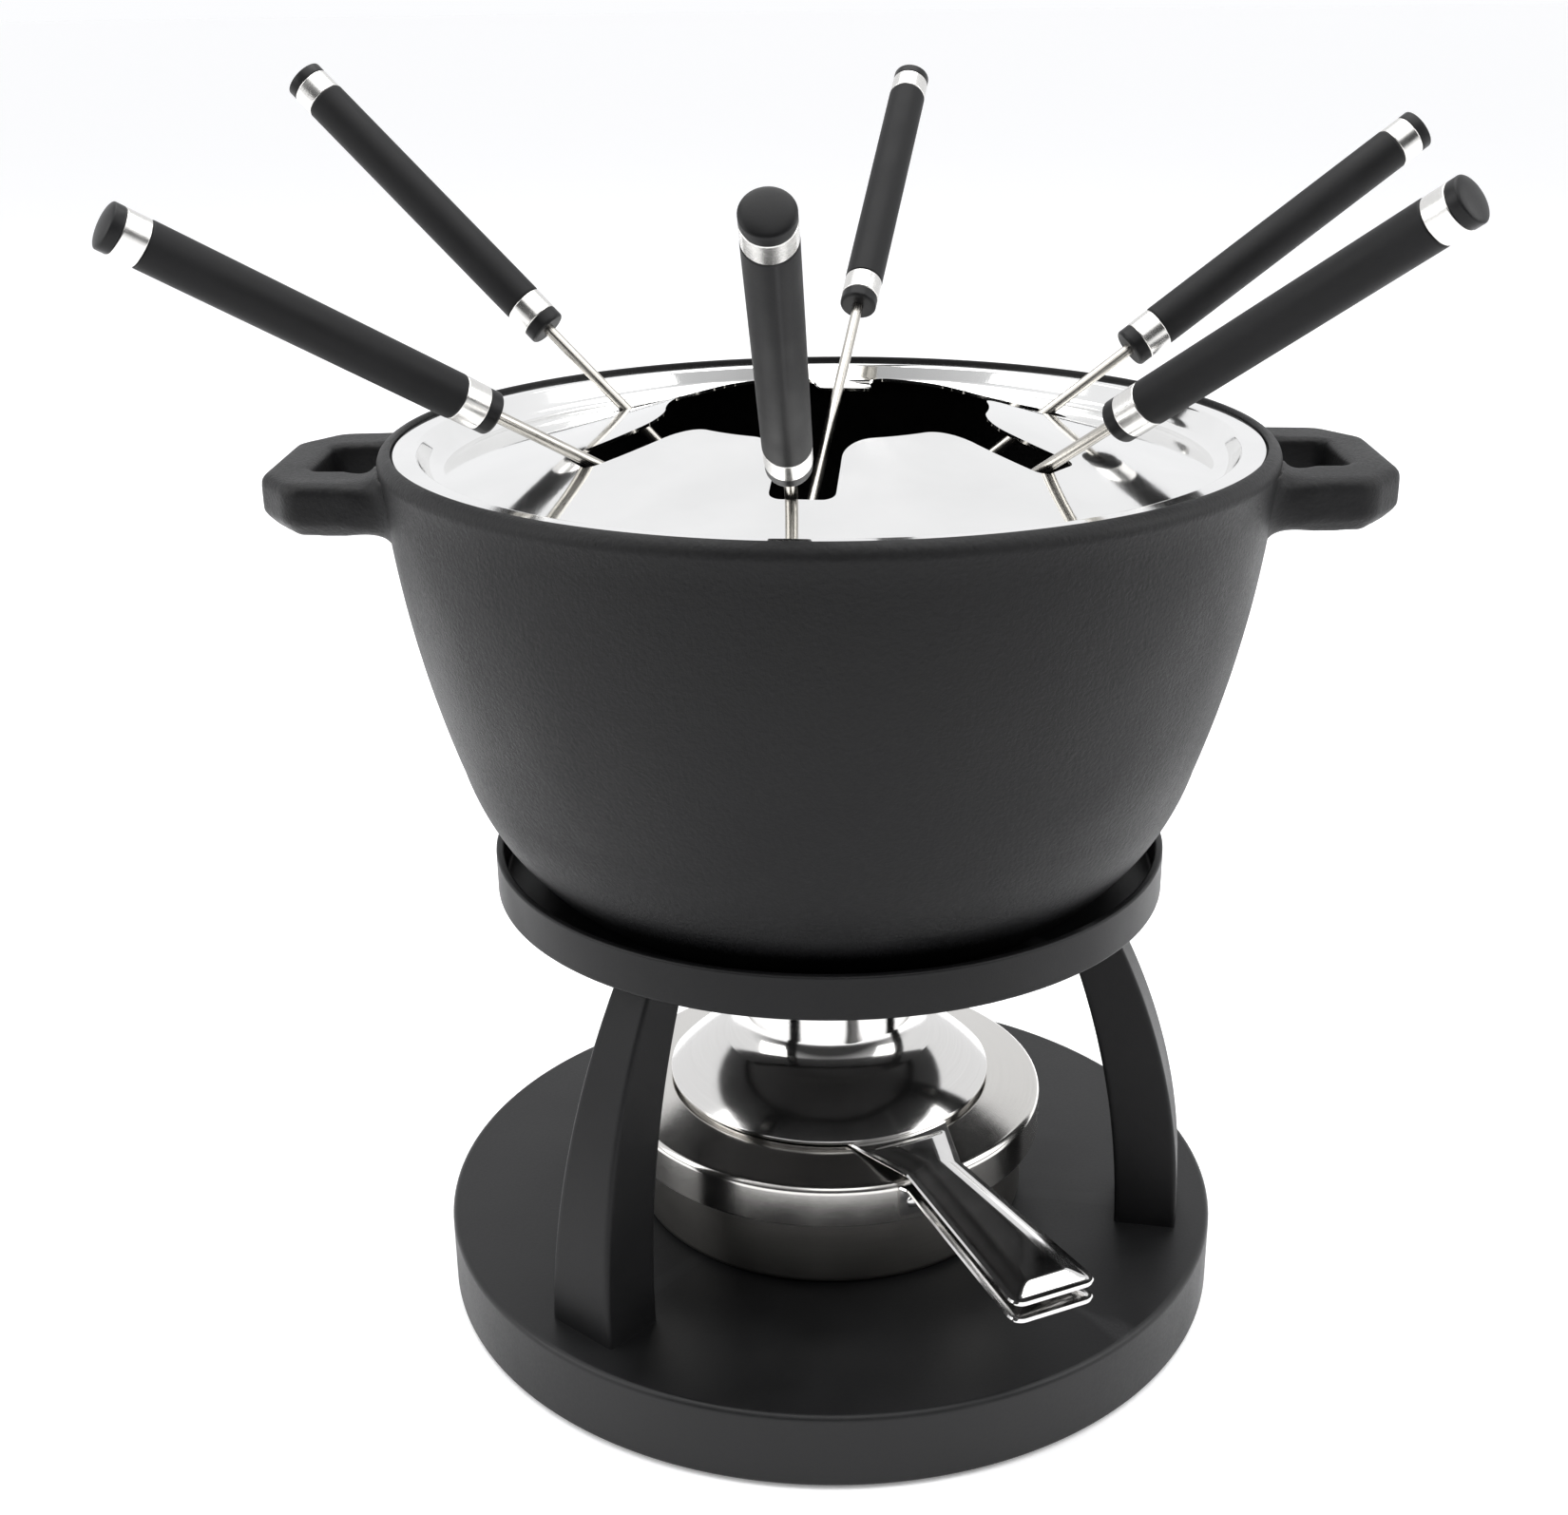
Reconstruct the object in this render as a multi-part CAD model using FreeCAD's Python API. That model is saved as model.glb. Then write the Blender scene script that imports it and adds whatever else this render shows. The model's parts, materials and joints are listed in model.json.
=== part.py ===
import FreeCAD, Part
import math
import os

# Fondue pot set. All sizes are in millimetres. The origin is the centre of the underside, +Z is up,
# the pot's two handles point along +X and -X, and the burner's handles point towards -Y.

Vec = FreeCAD.Vector
origin = Vec(0, 0, 0)
up = Vec(0, 0, 1)

# Stand: a lacquered board on a non-slip sheet, three bowed legs and a seat ring.
pad_radius = 92.0
pad_thickness = 1.0
board_radius = 100.0
board_thickness = 19.0
board_edge_round = 1.4
leg_count = 3
first_leg_angle = -130.0
foot_inset = 8.5            # from the board's edge to the outer face of a leg's foot
foot_depth = 15.5
foot_width = 20.0
leg_top_depth = 11.5
leg_top_width = 10.6
leg_top_inset = 16.2        # from the ring's outside to the outer face of a leg's top
leg_outer_bow = 6.7
leg_inner_bow = 5.1
leg_edge_round = 0.7
stand_height = 90.0         # clear height between the board and the ring
shelf_thickness = 2.0
shelf_lip = 2.5             # how far the shelf runs inwards past the legs
ring_height = 10.7
ring_wall = 2.0
ring_gap = 5.4              # between the ring's top edge and the pot
ring_edge_round = 0.6

# Countersunk screws.
foot_screw_radius = 2.5
foot_screw_head_radius = 4.7
foot_screw_grip = 18.0      # length inside a leg
foot_screw_access = 7.0     # radius of the hole in the non-slip sheet
ring_screw_radius = 2.0
ring_screw_head_radius = 3.7
ring_screw_grip = 16.0
screw_hole_clearance = 0.25
screw_head_recess = 0.1
hex_key_radius = 1.6
hex_key_depth = 1.2

# Pot: one enamelled casting with two loop handles.
pot_foot_radius = 65.5
pot_belly_radius = 89.3
pot_belly_height = 34.0
pot_belly_bow = 3.6
pot_neck_radius = 103.0
pot_side_bow = 2.1
pot_rim_flare = 0.6         # how far the rim stands out past the neck
pot_height = 109.0
pot_neck_drop = 9.0         # from the crest down to where the rim begins
pot_wall = 5.0
pot_floor = 5.0
rim_round = 2.4
rim_outer_drop = 4.2
rim_lip_drop = 0.4
rim_lip_width = 0.5
seat_drop = 1.8             # from the crest down to the ledge that carries the guard
seat_width = 4.4
handle_reach = 26.0         # beyond the rim
handle_thickness = 12.5
handle_drop = 5.5           # from the crest down to the handle's top face
handle_root_half = 34.0
handle_shoulder_half = 29.0
handle_shoulder_inset = 8.5
handle_nose_half = 17.0
handle_corner_round = 6.0
handle_top_round = 2.4
handle_under_bevel = 3.6
handle_bar = 10.5           # width of the outer bar
finger_root_half = 17.5
finger_nose_half = 14.0
finger_corner_round = 3.5

# Splatter guard: one pressed sheet with a six-notched mouth.
guard_sheet = 0.8
guard_clearance = 0.4       # round the flange, inside the rim's lip
guard_flange = 5.4
guard_step = 6.2
guard_step_run = 3.2
notch_count = 6
notch_radius = 62.0         # from the axis to the bottom of a notch
notch_rise = -0.5           # sheet height there, measured up from the flange, so below it
notch_width = 14.0
notch_corner_round = 3.0
first_notch_angle = -155.0
mouth_radius = 37.5
mouth_edge_band = 0.5       # upright edges this near the mouth are the tongues' corners
mouth_rise = 7.0            # height of the tongue tips above the flange
mouth_trim = 2.0            # sheet turned past the mouth, then trimmed off
mouth_trim_rise = 0.5       # its extra height there
tongue_corner_round = 9.5

# Forks.
shaft_radius = 1.4
grip_radius = 5.05
ferrule_radius = 4.98
ferrule_wall = 1.0
collar_radius = 4.85
collar_length = 3.3
lower_ferrule_length = 5.8
grip_length = 71.0
upper_ferrule_length = 5.2
cap_length = 3.2
cap_radius = 4.95
cap_crown = 1.1             # height of the cap's domed end
tang_length = 58.0
edge_soften = 0.4
fork_insertion = 92.0       # from the notch to the tine tips
head_width = 5.0
head_thickness = 1.4
head_length = 27.0
tine_length = 18.0
tine_gap = 1.8
tine_point = 3.5
head_shoulder = 5.0
notch_clearance = 0.5       # between a resting shaft and the edge of its notch

# Where each fork lies in its notch: notch number, sideways shift in the notch, lean away from
# upright, compass heading of the grip, distance from the notch to the grip, and roll of the tines.
fork_seats = [
    {"notch": 0, "shift": 3.0, "lean": 59.8, "heading": -149.2, "draw": 22.5, "roll": 20},
    {"notch": 1, "shift": -2.1, "lean": 50.0, "heading": -91.5, "draw": 9.2, "roll": -16},
    {"notch": 2, "shift": -3.0, "lean": 55.8, "heading": -42.3, "draw": 18.7, "roll": -20},
    {"notch": 3, "shift": -0.2, "lean": 55.4, "heading": 14.2, "draw": 21.9, "roll": 20},
    {"notch": 4, "shift": 1.8, "lean": 50.9, "heading": 76.1, "draw": 25.0, "roll": -15},
    {"notch": 5, "shift": 2.5, "lean": 47.6, "heading": 160.4, "draw": 24.6, "roll": -20},
]

# Burner: cup, fuel tin, lid with a fixed handle, and a turning regulator with its own handle.
burner_angle = -64.0
cup_radius = 50.5
cup_wall = 1.0
cup_corner_round = 2.0
cup_rim_overhang = 2.3
cup_rim_drop = 1.6          # from the lid's shoulder corner down to the cup's rim
tin_radius = 46.0
tin_wall = 0.5
tin_height = 21.5
tin_bead = 0.8
paste_depth = 17.0
lid_sheet = 0.9
lid_radius = 55.0
lid_skirt_bottom = 19.5     # above the board
lid_corner_height = 30.0    # above the board
lid_corner_round = 1.6
lid_shoulder_radius = 42.0
lid_top_height = 32.6       # above the board
collar_neck_radius = 20.8
collar_neck_height = 8.0
turning_clearance = 0.3
air_hole_count = 8
air_hole_radius = 3.2
air_hole_circle = 31.0
disc_thickness = 1.0
disc_radius = 39.8
arm_reach = 112.0
arm_root_half = 14.0
arm_root_lap = 4.0          # how far the arm's root runs in over the disc
arm_waist_half = 7.0
arm_waist_radius = 57.0
arm_tip_half = 10.5
arm_tip_round = 3.0
bead_rise = 1.7             # raised panel pressed into each arm
bead_margin = 2.2           # flat edge left round the raised panel
bead_round = 1.2
bead_start_gap = 2.0        # from the hat's rim, or from the bracket, to the panel
lower_arm_drop = 3.3        # clear gap between the two arms
bracket_height = 8.0
bracket_half = 8.0
rivet_radius = 1.0
rivet_head_radius = 1.9
rivet_head_height = 0.6
rivet_head_taper = 0.6      # a head's end over its root
rivet_head_lift = 0.15      # past the bracket's face at the rivet's centre line
rivet_tail = 0.6            # length of shank inside the skirt
rivet_neck = 0.5            # length of shank past the bracket, inside the head
rivet_spacing = 9.0
hat_sheet = 0.8
hat_rim_overhang = 1.5
hat_crease_radius = 27.0
hat_crease_rise = 10.3
hat_convex_bow = 0.7
hat_concave_bow = 0.9
chimney_radius = 22.0
chimney_start_rise = 17.0
chimney_height = 32.0       # from the turning disc to the chimney's mouth

# Height of a quarter circle over its chord, for a radius of one.
quarter_bow = 1 - math.sqrt(0.5)

# Places that follow from the sizes above.
board_top = pad_thickness + board_thickness
shelf_under = board_top + stand_height
shelf_top = shelf_under + shelf_thickness
crest = shelf_top + pot_height
foot_outer = board_radius - foot_inset
foot_inner = foot_outer - foot_depth
foot_middle = foot_outer - foot_depth / 2
seat_height = crest - seat_drop
pot_rim_radius = pot_neck_radius + pot_rim_flare
lip_radius = pot_rim_radius - rim_round - rim_lip_width
seat_inner = lip_radius - seat_width
guard_radius = lip_radius - guard_clearance
flange_top = seat_height + guard_sheet
disc_under = board_top + lid_top_height + turning_clearance
disc_top = disc_under + disc_thickness


def bowed(start, end, bow):
    # Middle point of an arc that stands off its chord, to the right of the way from start to end.
    run = end[0] - start[0]
    rise = end[1] - start[1]
    length = math.hypot(run, rise)
    return ((start[0] + end[0]) / 2 + bow * rise / length, (start[1] + end[1]) / 2 - bow * run / length)


def arc_radius_at(start, end, bow, height):
    # Distance from the axis to a bowed side, at one height.
    chord = math.hypot(end[0] - start[0], end[1] - start[1])
    curve = (chord * chord / 4 + bow * bow) / (2 * bow)
    middle = bowed(start, end, bow)
    centre = bowed(start, end, bow - curve)
    side = 1 if middle[0] > centre[0] else -1
    return centre[0] + side * math.sqrt(curve * curve - (height - centre[1]) ** 2)


def section(start, *steps):
    # Flat face in the X-Z plane. A step is an end point, or a middle point and an end point for an arc.
    edges = []
    here = start
    for step in steps + (start,):
        if isinstance(step[0], tuple):
            middle, there = step
            arc = Part.Arc(Vec(here[0], 0, here[1]), Vec(middle[0], 0, middle[1]), Vec(there[0], 0, there[1]))
            edges.append(arc.toShape())
        else:
            there = step
            edges.append(Part.LineSegment(Vec(here[0], 0, here[1]), Vec(there[0], 0, there[1])).toShape())
        here = there
    return Part.Face(Part.Wire(edges))


def turned(start, *steps):
    return section(start, *steps).revolve(origin, up, 360)


def plan_prism(points, bottom, height):
    corners = [Vec(x, y, bottom) for x, y in points]
    return Part.Face(Part.makePolygon(corners + corners[:1])).extrude(Vec(0, 0, height))


def round_upright_edges(solid, radius, chosen):
    # Rounds the upright edges whose foot passes the test.
    edges = []
    for edge in solid.Edges:
        first = edge.Vertexes[0].Point
        last = edge.Vertexes[-1].Point
        upright = abs(first.x - last.x) < 0.001 and abs(first.y - last.y) < 0.001
        if upright and abs(first.z - last.z) > 0.001 and chosen(first):
            edges.append(edge)
    return solid.makeFillet(radius, edges)


def edges_at(solid, height, chosen):
    found = []
    for edge in solid.Edges:
        if all(abs(vertex.Z - height) < 0.001 for vertex in edge.Vertexes):
            if chosen(edge.CenterOfMass):
                found.append(edge)
    return found


def spun(solid, angle):
    copy = solid.copy()
    copy.rotate(origin, up, angle)
    return copy


def screw(shank_radius, head_radius, length, key_radius, key_depth):
    # Countersunk screw with its head's face at zero and its shank running up.
    cone = head_radius - shank_radius
    body = turned((0, 0), (head_radius, 0), (shank_radius, cone), (shank_radius, length), (0, length))
    corners = [(key_radius * math.cos(math.radians(60 * k)), key_radius * math.sin(math.radians(60 * k)))
               for k in range(6)]
    return body.cut(plan_prism(corners, 0, key_depth))


def screw_hole(shank_radius, head_radius, length):
    # Tool that makes a countersunk hole, run past the face by a little.
    hole_radius = shank_radius + screw_hole_clearance
    sink = head_radius - hole_radius
    return turned((0, -1), (head_radius, -1), (head_radius, 0), (hole_radius, sink), (hole_radius, length), (0, length))


def at_each_leg(solid, radius, height):
    copies = []
    for k in range(leg_count):
        copy = solid.copy()
        copy.translate(Vec(radius, 0, height))
        copies.append(spun(copy, first_leg_angle + 360 / leg_count * k))
    return copies


def base_pad():
    sheet = Part.makeCylinder(pad_radius, pad_thickness)
    access = Part.makeCylinder(foot_screw_access, 3 * pad_thickness)
    return sheet.cut(Part.makeCompound(at_each_leg(access, foot_middle, -pad_thickness)))


def base_board():
    board = Part.makeCylinder(board_radius, board_thickness, Vec(0, 0, pad_thickness))
    board = board.makeFillet(board_edge_round, edges_at(board, board_top, lambda point: True))
    hole = screw_hole(foot_screw_radius, foot_screw_head_radius, 2 * board_thickness)
    return board.cut(Part.makeCompound(at_each_leg(hole, foot_middle, pad_thickness + screw_head_recess)))


def foot_screws():
    length = board_thickness + foot_screw_grip
    one = screw(foot_screw_radius, foot_screw_head_radius, length, hex_key_radius, hex_key_depth)
    return Part.makeCompound(at_each_leg(one, foot_middle, pad_thickness + screw_head_recess))


def ring_outer_radius():
    # The ring clears the pot by its gap at the ring's top edge.
    foot = (pot_foot_radius, 0)
    belly = (pot_belly_radius, pot_belly_height)
    height = ring_height - shelf_thickness
    return arc_radius_at(foot, belly, pot_belly_bow, height) + ring_gap + ring_wall


def leg_top_outer():
    return ring_outer_radius() - leg_top_inset


def leg_top_middle():
    return leg_top_outer() - leg_top_depth / 2


def shelf_inner():
    return leg_top_outer() - leg_top_depth - shelf_lip


def leg():
    # Bowed outline across the stand, narrowed upwards by a tapered prism.
    top_outer = (leg_top_outer(), shelf_under)
    top_inner = (leg_top_outer() - leg_top_depth, shelf_under)
    low_outer = (foot_outer, board_top)
    low_inner = (foot_inner, board_top)
    side = section(low_outer, (bowed(low_outer, top_outer, leg_outer_bow), top_outer), top_inner,
                   (bowed(top_inner, low_inner, -leg_inner_bow), low_inner))
    blank = side.extrude(Vec(0, foot_width, 0))
    blank.translate(Vec(0, -foot_width / 2, 0))
    reach = foot_outer + leg_outer_bow
    taper = section((-foot_width / 2, board_top), (foot_width / 2, board_top),
                    (leg_top_width / 2, shelf_under), (-leg_top_width / 2, shelf_under))
    taper.rotate(origin, up, 90)
    body = blank.common(taper.extrude(Vec(reach, 0, 0)))
    long_edges = [edge for edge in body.Edges if edge.BoundBox.ZLength > stand_height / 2]
    body = body.makeFillet(leg_edge_round, long_edges)
    foot_hole = Part.makeCylinder(foot_screw_radius, foot_screw_grip + screw_head_recess,
                                  Vec(foot_middle, 0, board_top))
    ring_depth = ring_screw_grip + screw_head_recess
    ring_hole = Part.makeCylinder(ring_screw_radius, ring_depth, Vec(leg_top_middle(), 0, shelf_under - ring_depth))
    return body.cut(foot_hole).cut(ring_hole)


def stand_ring():
    outer = ring_outer_radius()
    top = shelf_under + ring_height
    band = turned((shelf_inner(), shelf_under), (outer, shelf_under), (outer, top), (outer - ring_wall, top),
                  (outer - ring_wall, shelf_top), (shelf_inner(), shelf_top))
    rims = edges_at(band, shelf_under, lambda point: True)
    rims = [edge for edge in rims if edge.BoundBox.XLength > 2 * outer - 1]
    band = band.makeFillet(ring_edge_round, rims)
    hole = screw_hole(ring_screw_radius, ring_screw_head_radius, 2 * shelf_thickness + ring_screw_grip)
    hole.rotate(origin, Vec(1, 0, 0), 180)
    return band.cut(Part.makeCompound(at_each_leg(hole, leg_top_middle(), shelf_top - screw_head_recess)))


def ring_screws():
    length = shelf_thickness + ring_screw_grip
    one = screw(ring_screw_radius, ring_screw_head_radius, length, hex_key_radius, hex_key_depth)
    one.rotate(origin, Vec(1, 0, 0), 180)
    return Part.makeCompound(at_each_leg(one, leg_top_middle(), shelf_top - screw_head_recess))


def pot_bowl():
    foot = (pot_foot_radius, shelf_top)
    belly = (pot_belly_radius, shelf_top + pot_belly_height)
    neck = (pot_neck_radius, crest - pot_neck_drop)
    rim_side = (pot_rim_radius, crest - rim_outer_drop)
    top = (pot_rim_radius - rim_round, crest)
    lip = (lip_radius, crest - rim_lip_drop)
    ledge_outer = (lip_radius, seat_height)
    ledge_inner = (seat_inner, seat_height)
    inner_belly = (pot_belly_radius - pot_wall, shelf_top + pot_belly_height)
    inner_floor = (pot_foot_radius - pot_wall / 2, shelf_top + pot_floor)
    return turned((0, shelf_top), foot,
                  (bowed(foot, belly, pot_belly_bow), belly),
                  (bowed(belly, neck, pot_side_bow), neck),
                  rim_side,
                  (bowed(rim_side, top, rim_round / 2), top),
                  (bowed(top, lip, rim_lip_drop / 3), lip),
                  ledge_outer, ledge_inner,
                  (bowed(ledge_inner, inner_belly, -pot_side_bow), inner_belly),
                  (bowed(inner_belly, inner_floor, -pot_belly_bow), inner_floor),
                  (0, shelf_top + pot_floor))


def pot_handle():
    # Loop on the +X side, rooted inside the pot's wall.
    top = crest - handle_drop
    bottom = top - handle_thickness
    nose = pot_rim_radius + handle_reach
    shoulder = nose - handle_shoulder_inset
    root = pot_neck_radius - pot_wall / 2 - handle_root_half
    plan = [(root, -handle_root_half), (shoulder, -handle_shoulder_half), (nose, -handle_nose_half),
            (nose, handle_nose_half), (shoulder, handle_shoulder_half), (root, handle_root_half)]
    block = plan_prism(plan, bottom, handle_thickness)
    block = round_upright_edges(block, handle_corner_round, lambda point: point.x > root + 1)
    block = block.makeFillet(handle_top_round, edges_at(block, top, lambda point: point.x > root + 1))
    block = block.makeChamfer(handle_under_bevel, edges_at(block, bottom, lambda point: point.x > root + 1))
    finger_end = nose - handle_bar
    gap = plan_prism([(root, -finger_root_half), (finger_end, -finger_nose_half),
                      (finger_end, finger_nose_half), (root, finger_root_half)], bottom - 1, handle_thickness + 2)
    gap = round_upright_edges(gap, finger_corner_round, lambda point: point.x > root + 1)
    core = Part.makeCylinder(pot_neck_radius - pot_wall / 2 - 1, 2 * handle_thickness,
                             Vec(0, 0, bottom - handle_thickness / 2))
    return block.cut(gap).cut(core)


def pot():
    handle = pot_handle()
    return pot_bowl().fuse([handle, spun(handle, 180)]).removeSplitter()


def guard_heights():
    # Heights of the sheet's upper face at the foot of the step, the notches and the tongue tips.
    return flange_top - guard_step, flange_top + notch_rise, flange_top + mouth_rise


def guard_mouth():
    # Tool that cuts the mouth: a round hole with six round-ended notches and softened tongues.
    bottom = flange_top - 2 * guard_step
    height = mouth_rise + 4 * guard_step
    half = notch_width / 2
    slot = plan_prism([(0, -half), (notch_radius, -half), (notch_radius, half), (0, half)], bottom, height)
    slot = round_upright_edges(slot, notch_corner_round, lambda point: point.x > mouth_radius)
    slots = [spun(slot, first_notch_angle + 360 / notch_count * k) for k in range(notch_count)]
    tool = Part.makeCylinder(mouth_radius, height, Vec(0, 0, bottom)).fuse(slots).removeSplitter()
    near = mouth_radius + mouth_edge_band
    return round_upright_edges(tool, tongue_corner_round, lambda point: math.hypot(point.x, point.y) < near)


def splatter_guard():
    low, middle, high = guard_heights()
    outer = guard_radius
    step_top = guard_radius - guard_flange
    step_foot = step_top - guard_step_run
    thin = guard_sheet
    trim_radius = mouth_radius - mouth_trim
    trim_height = high + mouth_trim_rise
    sheet = turned((outer, flange_top), (step_top, flange_top), (step_foot, low),
                   ((notch_radius, middle), (trim_radius, trim_height)),
                   (trim_radius, trim_height - thin),
                   ((notch_radius, middle - thin), (step_foot - thin, low - thin)),
                   (step_foot, low - thin), (step_top, flange_top - thin), (outer, flange_top - thin))
    return sheet.cut(guard_mouth())


def fork_shaft(draw):
    # Along +Z, with the notch at zero, the tines below and the tang above.
    tip = -fork_insertion
    neck = tip + head_length
    top = draw + collar_length + tang_length
    rod = Part.makeCylinder(shaft_radius, top - neck, Vec(0, 0, neck))
    half = head_width / 2
    slit = tine_gap / 2
    prong = (half + slit) / 2
    shoulder = neck - head_shoulder
    plate = section((-shaft_radius, neck + 2), (-half, shoulder), (-half, tip + tine_point), (-prong, tip),
                    (-slit, tip + tine_point), (-slit, tip + tine_length), (slit, tip + tine_length),
                    (slit, tip + tine_point), (prong, tip), (half, tip + tine_point), (half, shoulder),
                    (shaft_radius, neck + 2))
    blade = plate.extrude(Vec(0, head_thickness, 0))
    blade.translate(Vec(0, -head_thickness / 2, 0))
    return rod.fuse(blade).removeSplitter()


def fork_collar(draw):
    end = draw + collar_length
    soft = edge_soften
    return turned((shaft_radius, draw), (collar_radius - 2 * soft, draw), (collar_radius, draw + 2 * soft),
                  (collar_radius, end), (shaft_radius, end))


def fork_ferrule(start, length):
    inner = ferrule_radius - ferrule_wall
    return turned((inner, start), (ferrule_radius, start), (ferrule_radius, start + length), (inner, start + length))


def fork_grip(draw):
    # Two spigots carry the ferrules.
    spigot = ferrule_radius - ferrule_wall
    start = draw + collar_length
    low = start + lower_ferrule_length
    high = low + grip_length
    end = high + upper_ferrule_length
    soft = edge_soften
    bore_end = start + tang_length
    return turned((shaft_radius, start), (spigot, start), (spigot, low), (grip_radius - soft, low),
                  (grip_radius, low + soft), (grip_radius, high - soft), (grip_radius - soft, high),
                  (spigot, high), (spigot, end), (0, end), (0, bore_end), (shaft_radius, bore_end))


def fork_cap(draw):
    start = draw + collar_length + lower_ferrule_length + grip_length + upper_ferrule_length
    end = start + cap_length
    side = end - cap_crown
    ball = (cap_radius ** 2 + cap_crown ** 2) / (2 * cap_crown)
    half_way = cap_radius / 2
    crown = (half_way, end - ball + math.sqrt(ball ** 2 - half_way ** 2))
    return turned((0, start), (cap_radius, start), (cap_radius, side), (crown, (0, end)))


def fork_pieces(seat):
    draw = seat["draw"]
    lower = draw + collar_length
    upper = lower + lower_ferrule_length + grip_length
    return {
        "shaft": fork_shaft(draw),
        "collar": fork_collar(draw),
        "lower_ferrule": fork_ferrule(lower, lower_ferrule_length),
        "grip": fork_grip(draw),
        "upper_ferrule": fork_ferrule(upper, upper_ferrule_length),
        "cap": fork_cap(draw),
    }


def fork_place(seat):
    # The shaft clears the notch's edge by the notch clearance, measured square to the shaft.
    around = math.radians(first_notch_angle + 360 / notch_count * seat["notch"])
    lean = math.radians(seat["lean"])
    heading = math.radians(seat["heading"])
    along = Vec(math.sin(lean) * math.cos(heading), math.sin(lean) * math.sin(heading), math.cos(lean))
    across = Vec(-math.sin(heading), math.cos(heading), 0)
    height = guard_heights()[1] + (shaft_radius + notch_clearance) / math.sin(lean)
    edge = Vec(notch_radius * math.cos(around) - seat["shift"] * math.sin(around),
               notch_radius * math.sin(around) + seat["shift"] * math.cos(around), height)
    turn = FreeCAD.Rotation(across, along.cross(across), along, "ZXY")
    return FreeCAD.Placement(edge, turn.multiply(FreeCAD.Rotation(up, seat["roll"])))


def burner_cup():
    bottom = board_top
    rim = board_top + lid_corner_height - cup_rim_drop
    outer = cup_radius
    inner = cup_radius - cup_wall
    edge = cup_radius + cup_rim_overhang
    corner = cup_corner_round
    return turned((0, bottom), (outer - corner, bottom), (outer, bottom + corner), (outer, rim - cup_wall),
                  (edge, rim - cup_wall), (edge, rim), (inner, rim), (inner, bottom + corner),
                  (inner - corner / 2, bottom + cup_wall), (0, bottom + cup_wall))


def fuel_tin():
    bottom = board_top + cup_wall
    top = bottom + tin_height
    inner = tin_radius - tin_wall
    return turned((0, bottom), (tin_radius, bottom), (tin_radius, top - tin_bead),
                  (tin_radius + tin_bead, top - tin_bead), (tin_radius + tin_bead, top), (inner, top),
                  (inner, bottom + tin_wall), (0, bottom + tin_wall))


def fuel_paste():
    return Part.makeCylinder(tin_radius - tin_wall, paste_depth, Vec(0, 0, board_top + cup_wall + tin_wall))


def burner_lid():
    thin = lid_sheet
    low = board_top + lid_skirt_bottom
    corner = board_top + lid_corner_height
    top = board_top + lid_top_height
    neck_top = top + collar_neck_height
    outer = lid_radius
    neck = collar_neck_radius
    curve = lid_corner_round
    skirt_end = (outer, corner - curve)
    shoulder_start = (outer - curve, corner)
    inner_skirt = (outer - thin, corner - curve)
    inner_start = (outer - curve - thin / 2, corner - thin)
    lid = turned((outer, low), skirt_end, (bowed(skirt_end, shoulder_start, curve * quarter_bow), shoulder_start),
                 (lid_shoulder_radius, top), (neck, top), (neck, neck_top), (neck - thin, neck_top),
                 (neck - thin, top - thin), (lid_shoulder_radius, top - thin), inner_start, inner_skirt,
                 (outer - thin, low))
    return lid.cut(air_holes(top - 2 * thin, 3 * thin))


def air_holes(bottom, height):
    hole = Part.makeCylinder(air_hole_radius, height, Vec(air_hole_circle, 0, bottom))
    return Part.makeCompound([spun(hole, burner_angle + 360 / air_hole_count * k) for k in range(air_hole_count)])


def arm_half_width(radius, root_radius, root_half):
    # Half width of an arm at a distance from the axis, from root to waist and from waist to tip.
    if radius < arm_waist_radius:
        share = (radius - root_radius) / (arm_waist_radius - root_radius)
        return root_half + share * (arm_waist_half - root_half)
    share = (radius - arm_waist_radius) / (arm_reach - arm_waist_radius)
    return arm_waist_half + share * (arm_tip_half - arm_waist_half)


def raised_panel(start, root_radius, root_half, inset, bottom, height):
    # Panel that follows the arm's outline, a margin inside it.
    margin = bead_margin + inset
    end = arm_reach - bead_margin - inset
    radii = [start + inset, end]
    if start + inset < arm_waist_radius:
        radii = [start + inset, arm_waist_radius, end]
    half = [(radius, arm_half_width(radius, root_radius, root_half) - margin) for radius in radii]
    plan = [(radius, -width) for radius, width in half] + [(radius, width) for radius, width in reversed(half)]
    panel = plan_prism(plan, bottom, height)
    panel = round_upright_edges(panel, arm_tip_round - inset, lambda point: point.x > end - 1)
    return panel


def stamped_arm(top, root_radius, root_half, panel_start):
    # Flat arm along +X with a raised panel, hollow underneath like pressed sheet.
    bottom = top - disc_thickness
    plan = [(root_radius, -root_half), (arm_waist_radius, -arm_waist_half), (arm_reach, -arm_tip_half),
            (arm_reach, arm_tip_half), (arm_waist_radius, arm_waist_half), (root_radius, root_half)]
    arm = plan_prism(plan, bottom, disc_thickness)
    arm = round_upright_edges(arm, arm_tip_round, lambda point: point.x > arm_reach - 1)
    ridge = raised_panel(panel_start, root_radius, root_half, 0, bottom, disc_thickness + bead_rise)
    ridge = ridge.makeFillet(bead_round, edges_at(ridge, top + bead_rise, lambda point: True))
    hollow = raised_panel(panel_start, root_radius, root_half, disc_thickness, bottom, bead_rise)
    return arm.fuse(ridge).cut(hollow).removeSplitter()


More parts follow.
